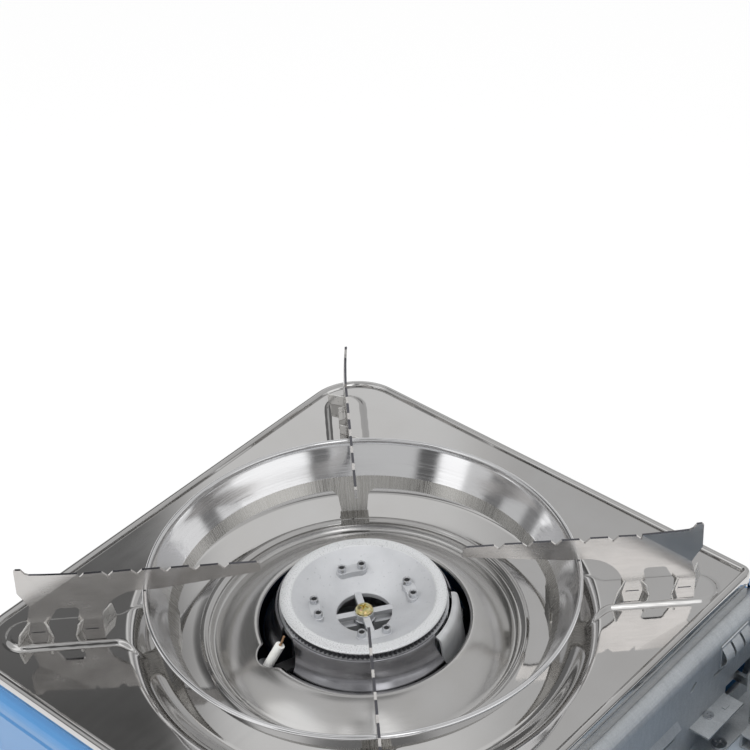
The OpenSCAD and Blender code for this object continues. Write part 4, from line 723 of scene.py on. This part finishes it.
def arm_lower():
    """The arm's lower edge, from its tip outwards, as (radius, height above the rim plane)."""
    (a0, a1), (b0, b1) = ARM_LEGS
    return ([(ARM_TIP - 0.2, ARM_Z - 5.6), (SHIELD_R - 6, SHIELD_Z + 2),
             (SHIELD_R + 2, SHIELD_Z + 1.9)]
            + arc(SHIELD_R + 2, 5, 19, 85, 14, 10)
            + [(a0 + 0.9, ARM_HEM), (a1 - 0.6, ARM_HEM), (127.6, 14.0)]
            + arc(129.6, 14.2, 2.0, 175, 90, 4) + arc(136.4, 14.2, 2.0, 90, 5, 4)
            + [(b0 + 0.8, ARM_HEM), (b1 - 1.3, ARM_HEM), (150.4, 14.0), ARM_FOLD[1]])


def arm_upper():
    """The notched upper edge, from the crease back to the tip."""
    out = []
    for i in reversed(range(NOTCHES)):
        r = NOTCH0 + NOTCH_PITCH * i
        out += [(r + 2.4, ARM_Z), (r, ARM_Z - NOTCH_DEPTH), (r - 2.4, ARM_Z - 0.2)]
    out = [p for p in out if p[0] < ARM_FOLD[0][0]]
    return out + [(ARM_TIP + 1.8, ARM_Z - 0.2), (ARM_TIP + 0.6, ARM_Z - 1.0)]


def arm_corner():
    """The arm's outer corner, beyond the crease, with its raised point."""
    return [(151.6, 22.2), (ARM_END, 26.0), (ARM_END, ARM_Z + 2.2), (ARM_END - 0.8, ARM_Z + 2.9),
            (ARM_END - 3.2, ARM_Z + 2.9), (ARM_END - 4.4, ARM_Z + 0.9),
            (ARM_END - 6.5, ARM_Z + 0.1), (ARM_END - 13.0, ARM_Z), (ARM_END - 21.0, ARM_Z)]


def set_back(r, z):
    """How far a point past the crease is bent back, in millimetres."""
    (ar, az), (br, bz) = ARM_FOLD
    past = ((r - ar) * (az - bz) + (z - az) * (br - ar)) / math.hypot(br - ar, az - bz)
    return 0.002 * max(0.0, past) ** 2 + 0.06 * max(0.0, past)


def ribbon(line, depth, low, high, splay):
    """A folded strip of sheet that follows a line seen from above, its top moved by splay."""
    points = [(x + t * splay[0], y + t * splay[1], z) for t, z in ((0, low), (1, high))
              for x, y in line]
    n = len(line)
    points += [(x + dx, y + dy, z) for (x, y, z), (dx, dy) in zip(points, depth * 2)]
    faces = []
    for k in range(n - 1):
        a, b, c, d = k, k + 1, n + k + 1, n + k
        faces += [(a, b, c, d), (2 * n + d, 2 * n + c, 2 * n + b, 2 * n + a),
                  (d, c, 2 * n + c, 2 * n + d), (b, a, 2 * n + a, 2 * n + b)]
    faces += [(0, n, 3 * n, 2 * n), (n - 1, 3 * n - 1, 4 * n - 1, 2 * n - 1)]
    return points, faces


def folded_tab(r, side, outward, reach, lean, low, high):
    """A tab folded from a leg's edge: outward is 1 or -1 along the arm, side 1 or -1 across."""
    line, depth = [], []
    for t in np.linspace(0.0, 1.0, 11):
        a = math.radians(90 * min(1.0, t * 2.2))
        past = max(0.0, t - 0.45) / 0.55 * reach
        line.append((r + outward * (TAB_BEND * math.sin(a) + past * lean),
                     side * (TAB_BEND * (1 - math.cos(a)) + past)))
        depth.append((outward * -TAB_T * math.sin(a), side * TAB_T * math.cos(a)))
    return ribbon(line, depth, low, high, (outward * -TAB_SPLAY, 0.0))


def arm_sheet(near):
    """The arm's sheet: flat up to the crease, and from there on bent back row by row."""
    lower, half = arm_lower(), ARM_T / 2
    outline = lower + [ARM_FOLD[0]] + arm_upper()
    n = len(outline)
    points = [(r, s, RIM_Z + z) for s in (-half, half) for r, z in outline]
    faces = [tuple(range(n)), tuple(reversed(range(n, 2 * n)))]
    faces += [(i, n + i, n + (i + 1) % n, (i + 1) % n) for i in range(n) if i != len(lower) - 1]
    start = len(points)
    (cr, cz), (dr, dz) = ARM_FOLD
    long = (dr - cr) ** 2 + (dz - cz) ** 2
    steps = 10
    edge = [ARM_FOLD[0]] + list(reversed(arm_corner())) + [ARM_FOLD[1]]
    m = len(edge)
    for s in (-half, half):
        for k in range(steps + 1):
            t = k / steps
            for r, z in edge:
                # each row slides from the crease towards the corner
                u = ((r - cr) * (dr - cr) + (z - cz) * (dz - cz)) / long
                u = min(1.0, max(0.0, u))
                fr, fz = cr + (dr - cr) * u, cz + (dz - cz) * u
                pr, pz = fr + (r - fr) * t, fz + (z - fz) * t
                points.append((pr, s - near * set_back(pr, pz), RIM_Z + pz))
    side = (steps + 1) * m
    for k in range(steps):
        for i in range(m - 1):
            a = start + k * m + i
            b, c, d = a + 1, a + m + 1, a + m
            faces += [(a, b, c, d), (side + d, side + c, side + b, side + a)]
    last = start + steps * m
    faces += [(last + i, last + i + 1, side + last + i + 1, side + last + i) for i in range(m - 1)]
    return points, faces


def arm(node, turn, near):
    """A pan arm: notched sheet with its outer corner set back, standing on two flanged feet."""
    half = ARM_T / 2
    base, hem = RIM_Z + SEAT_H, RIM_Z + ARM_HEM
    parts = [arm_sheet(near)]
    for low, high in ARM_LEGS:
        mid, x0, x1 = (low + high) / 2, low + 1.2, high - 1.2
        back, rib = near * STRIP_SET, near * 0.6
        parts += [slab(mid - 3, mid + 3, -half, half, base - 3.4, base + 0.4),
                  slab(x0, x1, -half - back, half - back, base, hem - 0.35),
                  slab(x0, x1, -half * 0.3 - rib, half * 0.3 - rib, base + 3, hem + 1.5)]
    (a0, a1), (b0, b1) = ARM_LEGS
    tabs = [folded_tab(a0 + 1.4, -1, -1, 7.0, 0.6, base, hem + 0.6),
            folded_tab(a1 - 1.6, near, 1, 2.4, 0.5, base, hem + 0.2),
            folded_tab(b0 + 1.6, near, -1, 2.4, 0.5, base, hem + 0.2),
            folded_tab(b1 - 1.4, 1, 1, 7.0, 0.45, base, hem + 0.6)]
    sheet = make(node + "_sheet", *moved(joined(*parts), turn), "arm_steel", "top",
                 "arm_steel", [node], 28)
    # the tabs are folded from the arm's own sheet; their lighter finish is a painted highlight
    ears = make(node + "_tabs", *moved(joined(*tabs), turn), "tab_steel", "top",
                "arm_steel", (), 28)
    for piece in (sheet, ears):
        bevel(piece, 0.22, 2, 50, harden=False)


# ---- burner ----

def cap_height(r):
    """Height of the cap's dished face above the rim plane."""
    return CAP_Z - 0.4 - CAP_SLOPE * (DISH_IN_R - r)


def nozzle_pad(low, high):
    """Outline of a pad that carries a nozzle at each end, at the angles low and high."""
    path = [math.radians(a) for a in np.linspace(low, high, 13)]

    def side(r, way):
        return [(r * math.cos(t), r * math.sin(t)) for t in way]

    def end(degrees, turns):
        at = math.radians(degrees)
        x, y = NOZZLE_RING_R * math.cos(at), NOZZLE_RING_R * math.sin(at)
        return [(x + PAD_HALF * math.cos(at + t), y + PAD_HALF * math.sin(at + t))
                for t in turns[1:-1]]

    return (side(NOZZLE_RING_R + PAD_HALF, path) + end(high, np.linspace(0, math.pi, 11))
            + side(NOZZLE_RING_R - PAD_HALF, path[::-1])
            + end(low, np.linspace(math.pi, 2 * math.pi, 11)))


def burner_cap():
    """Dished die-cast cap with four spokes and four pads that carry two nozzles each."""
    mid = cap_height(CAP_HOLE_R)
    floor = CAP_Z - 3
    profile = [(CAP_HOLE_R + 0.3, mid), (CAP_HOLE_R + 0.9, mid + 0.3),
               (DISH_IN_R - 0.4, CAP_Z - 0.62), (DISH_IN_R, CAP_Z - 0.4),
               (DISH_IN_R + 0.4, CAP_Z - 0.1), (DISH_IN_R + 0.9, CAP_Z),
               (CAP_R - 1.1, CAP_Z), (CAP_R - 0.5, CAP_Z - 0.12), (CAP_R - 0.1, CAP_Z - 0.45),
               (CAP_R, CAP_Z - 0.8), (CAP_R - 0.3, CAP_Z - 1.3), (CAP_R - 1.6, floor),
               (DISH_IN_R + 0.6, floor), (DISH_IN_R - 1.4, floor - 0.9),
               (CAP_HOLE_R, mid - 2.6), (CAP_HOLE_R, mid - 0.3)]
    parts = [lathe([(r, RIM_Z + z) for r, z in profile], count=180)]
    hub = RIM_Z + mid
    spoke = slab(2.0, CAP_HOLE_R + 0.8, -SPOKE_HALF, SPOKE_HALF, hub - 2.2, hub + 0.3)
    parts += [moved(spoke, SPOKE_ANGLE + a) for a in (0, 90, 180, 270)]
    parts.append(tube(4.4, 2.2, hub - 2.6, hub + 1.0, 40))
    level = RIM_Z + cap_height(NOZZLE_RING_R)
    parts += [prism(nozzle_pad(low, high), level - 2.6, level + 1.6) for low, high in PAD_ANGLES]
    obj = make("burner_cap_casting", *joined(*parts), "cast_alloy", "body", "cast_alloy",
               ["burner_cap"])
    bevel(obj, 0.35, 3)
    spots = [(*polar(NOZZLE_RING_R, a), level) for pair in PAD_ANGLES for a in pair]
    lip = tube(NOZZLE_R, BORE_R, 1.0, NOZZLE_TOP, 28, 0.35)
    make("burner_nozzles", *joined(*(moved(lip, 0, at) for at in spots)), "zinc_screw",
         "body", "cast_alloy", (), 60)
    # painted shade: a black disc inside each nozzle's bore darkens the hole
    bore_shade_disc = tube(BORE_R + 0.02, 0.0, NOZZLE_TOP - BORE_DEPTH - 0.05, NOZZLE_TOP - BORE_DEPTH, 20)
    make("burner_nozzle_shade_discs", *joined(*(moved(bore_shade_disc, 0, at) for at in spots)),
         "black_plastic", "body", "cast_alloy")


def port_ring():
    """Serrated ring under the cap: its gaps are the flame ports."""
    points = []
    steps, high = PORTS * 4, CAP_Z - 1.25
    for i in range(steps):
        r = PORT_R - (PORT_CUT if i % 4 > 1 else 0.0)
        points += [(*polar(q, 360.0 * i / steps), RIM_Z + z)
                   for q, z in ((r, PORT_LOW), (r, high), (PORT_IN_R, high), (PORT_IN_R, PORT_LOW))]
    make("port_ring_teeth", points, turned_faces(steps, 4), "port_alloy", "body",
         "cast_alloy", ["port_ring"], 20)


def burner_skirt():
    """Dark polished bell under the cap, open at the electrode and at the heat pick-up."""
    line = [(38.9, 8.0), (39.1, 8.5), (39.6, 8.6), (40.0, 8.2), (40.2, 7.4), (40.5, 5.2),
            (40.9, 3.0), (41.5, 0.9), (42.3, -0.9), (43.4, -2.4), (44.6, -3.7), (45.7, -4.8),
            (46.4, -5.9), (46.6, -7.2), (46.6, -13.0)]
    outer = [(r, RIM_Z + z) for r, z in line]
    profile = outer + [(r - 0.8, z - 0.1) for r, z in reversed(outer[4:])] + [(38.9, RIM_Z + 7.4)]
    back, (front, front_faces) = lathe(profile, *SKIRT_BACK), lathe(profile, *SKIRT_FRONT)
    slanted = []
    for x, y, z in front:
        r, a = math.hypot(x, y), math.degrees(math.atan2(y, x))
        if a < SKIRT_EDGE:
            past = (a - SKIRT_EDGE) * (1 + SKIRT_SLANT * max(0.0, z - RIM_Z + 6))
            a = SKIRT_EDGE + past
        slanted.append((*polar(r, a), z))
    make("burner_skirt_bell", *joined(back, (slanted, front_faces)), "skirt_steel",
         "body", "skirt_steel", ["burner_skirt"], 60)


def heat_plate():
    """Hood beside the burner, its strip under the dish and the curved plate at the cartridge."""
    outer = [(39.9, 6.9), (41.3, 6.75), (42.4, 6.2), (43.1, 5.0), (43.6, 3.0), (44.1, -1.0),
             (44.7, -7.0), (45.4, -13.0), (46.1, -17.6)]
    inner = [(39.9, 5.9), (41.1, 5.75), (41.7, 5.3), (42.1, 4.3), (42.6, 2.6), (43.1, -1.0),
             (43.7, -7.0), (44.4, -13.0), (45.1, -17.6)]
    hood = lathe([(r, RIM_Z + z) for r, z in outer + inner[::-1]], HOOD[0], HOOD[1] - HOOD[0], 40)
    low = STRIP_Z - CAN_Z
    a0 = 180 - math.degrees(math.asin(low / (CONTACT_R + 1)))
    a1 = 180 + math.degrees(math.asin(12 / CONTACT_R))
    a2 = 180 - math.degrees(math.asin((low + 1) / CONTACT_R))
    section = [(STRIP_X, STRIP_Z), (STRIP_X, STRIP_Z + 1)]
    section += arc(CAN_X, CAN_Z, CONTACT_R, a2, a1, 14)
    section += arc(CAN_X, CAN_Z, CONTACT_R + 1, a1, a0, 14)
    n = len(section)
    points = [(x, y, z) for y in STRIP_Y for x, z in section]
    faces = [tuple(range(n)), tuple(reversed(range(n, 2 * n)))]
    faces += [(i, n + i, n + (i + 1) % n, (i + 1) % n) for i in range(n)]
    make("heat_plate_sheet", *joined(hood, (points, faces)), "dull_steel", "body",
         "plain_steel", ["heat_plate"], 40)


# ---- stage, lights and camera ----

FLOOR_HALF = 6.0                            # metres
FLOOR_GLOW, FLOOR_SHARE = 1.03, 0.8         # white shown to the camera, and its share


def stage_floor():
    """Pale table that shows nearly white to the camera and in metal, and keeps the shadow."""
    mesh = bpy.data.meshes.new("table")
    h = FLOOR_HALF
    mesh.from_pydata([(-h, -h, 0), (h, -h, 0), (h, h, 0), (-h, h, 0)], [], [(0, 1, 2, 3)])
    obj = shown(bpy.data.objects.new("table", mesh))
    s = Shader("table_finish", (0.9, 0.9, 0.9), 0.6)
    tree = s.tree
    glow = tree.nodes.new("ShaderNodeEmission")
    both = tree.nodes.new("ShaderNodeMixShader")
    path = tree.nodes.new("ShaderNodeLightPath")
    seen = s.math("MAXIMUM", path.outputs["Is Camera Ray"], path.outputs["Is Glossy Ray"])
    seen = s.math("MAXIMUM", seen, path.outputs["Is Transmission Ray"])
    tree.links.new(s.math("MULTIPLY", seen, FLOOR_SHARE), both.inputs[0])
    tree.links.new(s.bsdf.outputs[0], both.inputs[1])
    tree.links.new(glow.outputs[0], both.inputs[2])
    tree.links.new(both.outputs[0], tree.nodes["Material Output"].inputs["Surface"])
    glow.inputs["Strength"].default_value = FLOOR_GLOW
    mesh.materials.append(s.material)


# Cards and flags of the studio, as seen in bright metal: heading in degrees from +X towards +Y,
# half width, height above the horizon, half height, softness and brightness. A later card covers
# an earlier one.
CARDS = (
    (167, 28, 34, 24, 5, 0.20),       # dark flag on the left, darker at its top
    (163, 22, 50, 5.5, 3, 0.12),
    (158, 16, 60.5, 5, 4, 0.95),      # light over the flag
    (140, 32, 71, 5, 4, 0.26),        # dark ceiling over that, and at the front right
    (-52, 16, 70, 6, 4, 0.34),
    (-112, 26, 53, 9, 5, 1.35),       # high lamp at the front left
    (134, 5.5, 36, 14, 4, 1.00),      # bright gap beside the flag
    (0, 21, 18, 12, 5, 1.40),         # bright strip on the right
    (27, 7, 14, 12, 4, 0.95),
    (38, 5, 11, 11, 4, 0.24),         # its dark stand
    (56, 13, 6, 11, 4, 1.00),         # low light at the back right, and its edge
    (82, 4.5, 0, 8, 4, 0.28),
    (-28, 5, 18, 11, 4, 0.20),        # dark edge of the strip on the right
    (-56, 22, 18, 11, 4, 0.70),
    (-84, 5.5, 18, 11, 4, 0.14),
    (-98, 8, 19, 11, 4, 1.50),        # bright strip at the front, fading to the left
    (-111, 6, 16, 10, 4, 0.80),
    (-123, 5, 13, 9, 4, 0.22),
    (-135, 6, 10, 10, 4, 0.70),
    (-146, 4, 5, 8, 4, 0.26),
    (-158, 7, 2, 10, 4, 1.35),        # low light on the left, and its edge
    (-169, 5, -3, 8, 4, 0.22),
    (-54, 11, 39, 5, 3, 0.55),        # the dark camera at the front right
    (-60, 12, 50.5, 7, 3, 0.12),
    (-70, 7, 63, 4, 3, 1.50),         # light over the camera
    (-31, 9, 43, 11, 5, 2.40),        # and the lamps beside it
    (-31, 12, 68, 15, 4, 1.50),
)
# Brightness of the studio behind the cards, by height above the horizon in degrees.
SKY = ((0.0, 0.60), (30.0, 0.63), (46.0, 0.72), (64.0, 0.74), (90.0, 0.70))


def studio_world():
    """White to the camera, and a soft studio of cards and flags round the object."""
    world = bpy.data.worlds.new("studio")
    bpy.context.scene.world = world
    world.use_nodes = True
    tree = world.node_tree
    tree.nodes.clear()

    node = tree.nodes.new

    def work(kind, a, b=0.0):
        return calc(tree, kind, a, b)

    def step(value, low, high, to_low, to_high):
        return ramp(tree, value, to_low, to_high, low, high, "SMOOTHSTEP")

    split = node("ShaderNodeSeparateXYZ")
    tree.links.new(node("ShaderNodeTexCoord").outputs["Generated"], split.inputs[0])
    x, y, z = split.outputs
    square = work("ADD", work("MULTIPLY", y, y), 1e-6)
    flat = work("SQRT", work("ADD", work("MULTIPLY", x, x), square))
    degrees = 180 / math.pi
    height = work("MULTIPLY", work("ARCTAN2", z, flat), degrees)
    level = SKY[0][1]
    for (low, a), (high, b) in zip(SKY, SKY[1:]):
        level = work("ADD", level, step(height, low, high, 0.0, b - a))
    for heading, half, up, tall, soft, value in CARDS:
        a = math.radians(heading)
        toward = work("ADD", work("MULTIPLY", x, math.cos(a)), work("MULTIPLY", y, math.sin(a)))
        angle = work("ARCCOSINE", work("MINIMUM", work("DIVIDE", toward, flat), 1.0))
        beside = work("MULTIPLY", angle, degrees)
        above = work("ABSOLUTE", work("SUBTRACT", height, up))
        mask = work("MULTIPLY", step(beside, half - soft / 2, half + soft / 2, 1.0, 0.0),
                    step(above, tall - soft / 2, tall + soft / 2, 1.0, 0.0))
        level = work("ADD", level, work("MULTIPLY", mask, work("SUBTRACT", value, level)))
    seen = node("ShaderNodeLightPath").outputs["Is Camera Ray"]
    strength = work("ADD", work("MULTIPLY", level, work("SUBTRACT", 1.0, seen)), seen)
    back = node("ShaderNodeBackground")
    tree.links.new(strength, back.inputs["Strength"])
    tree.links.new(back.outputs[0], node("ShaderNodeOutputWorld").inputs["Surface"])


def area_light(name, at, toward, size, watts):
    """A round soft lamp."""
    light = bpy.data.lights.new(name, "AREA")
    light.shape, light.size, light.energy = "DISK", size, watts
    obj = shown(bpy.data.objects.new(name, light))
    obj.location = at
    obj.rotation_euler = (Vector(toward) - Vector(at)).to_track_quat("-Z", "Y").to_euler()
    obj.visible_glossy = False                  # bright metal shows the studio's cards instead


VIEW_AT = (0.404582, -0.4816, 0.7142)           # metres, in the model's frame
VIEW_TURN = (41.566, -36.843, -1.636)           # yaw, pitch and roll in degrees
VIEW_LENS, VIEW_SHIFT = 97.0, (-0.0276, -0.00056)


def camera():
    """The photograph's viewpoint: from the front right, 37 degrees down."""
    data = bpy.data.cameras.new("view")
    data.sensor_width, data.lens = 36.0, VIEW_LENS
    data.shift_x, data.shift_y = VIEW_SHIFT
    data.clip_start, data.clip_end = 0.05, 30.0
    obj = shown(bpy.data.objects.new("view", data))
    yaw, pitch, roll = (math.radians(a) for a in VIEW_TURN)
    level = math.cos(pitch)
    forward = Vector((-math.sin(yaw) * level, math.cos(yaw) * level, math.sin(pitch)))
    right = Vector((math.cos(yaw), math.sin(yaw), 0.0))
    up = right.cross(forward)
    c, s = math.cos(roll), math.sin(roll)
    r, u = right * c + up * s, up * c - right * s
    obj.matrix_world = Matrix(((r.x, u.x, -forward.x, VIEW_AT[0]),
                               (r.y, u.y, -forward.y, VIEW_AT[1]),
                               (r.z, u.z, -forward.z, VIEW_AT[2]), (0, 0, 0, 1)))
    bpy.context.scene.camera = obj


# ---- the scene ----

camera()
stage_floor()
studio_world()
LAMPS_TOWARD = (0.0, 0.0, 0.05)
area_light("key", (0.15, 0.1, 1.6), LAMPS_TOWARD, 0.8, 11.0)
area_light("fill", (-0.5, -1.0, 1.2), LAMPS_TOWARD, 0.9, 8.0)
bpy.context.scene.view_settings.view_transform = "Standard"

top_plate()
drip_dish()
windshield()
for arm_node, arm_turn, arm_near in (("arm_front_left", 225, 1), ("arm_front_right", 315, -1),
                                     ("arm_back_right", 45, -1), ("arm_back_left", 135, 1)):
    arm(arm_node, arm_turn, arm_near)
burner_cap()
port_ring()
burner_skirt()
heat_plate()

SLOT_OF = {s["node"]: s["material_slot"] for s in frame["record"]["subparts"]}
WELD_GAP, CAD_EDGE = 0.01, 0.18                 # millimetres
for name, obj in NODES.items():
    obj.data.materials.clear()
    obj.data.materials.append(FINISH[SLOT_OF[name]])
    if not obj.hide_render:
        obj.modifiers.new("weld", "WELD").merge_threshold = WELD_GAP * MM
        bevel(obj, CAD_EDGE, 2, 40.0)

NODES["lid"].visible_glossy = False             # no lid shows in the photo's bright metal
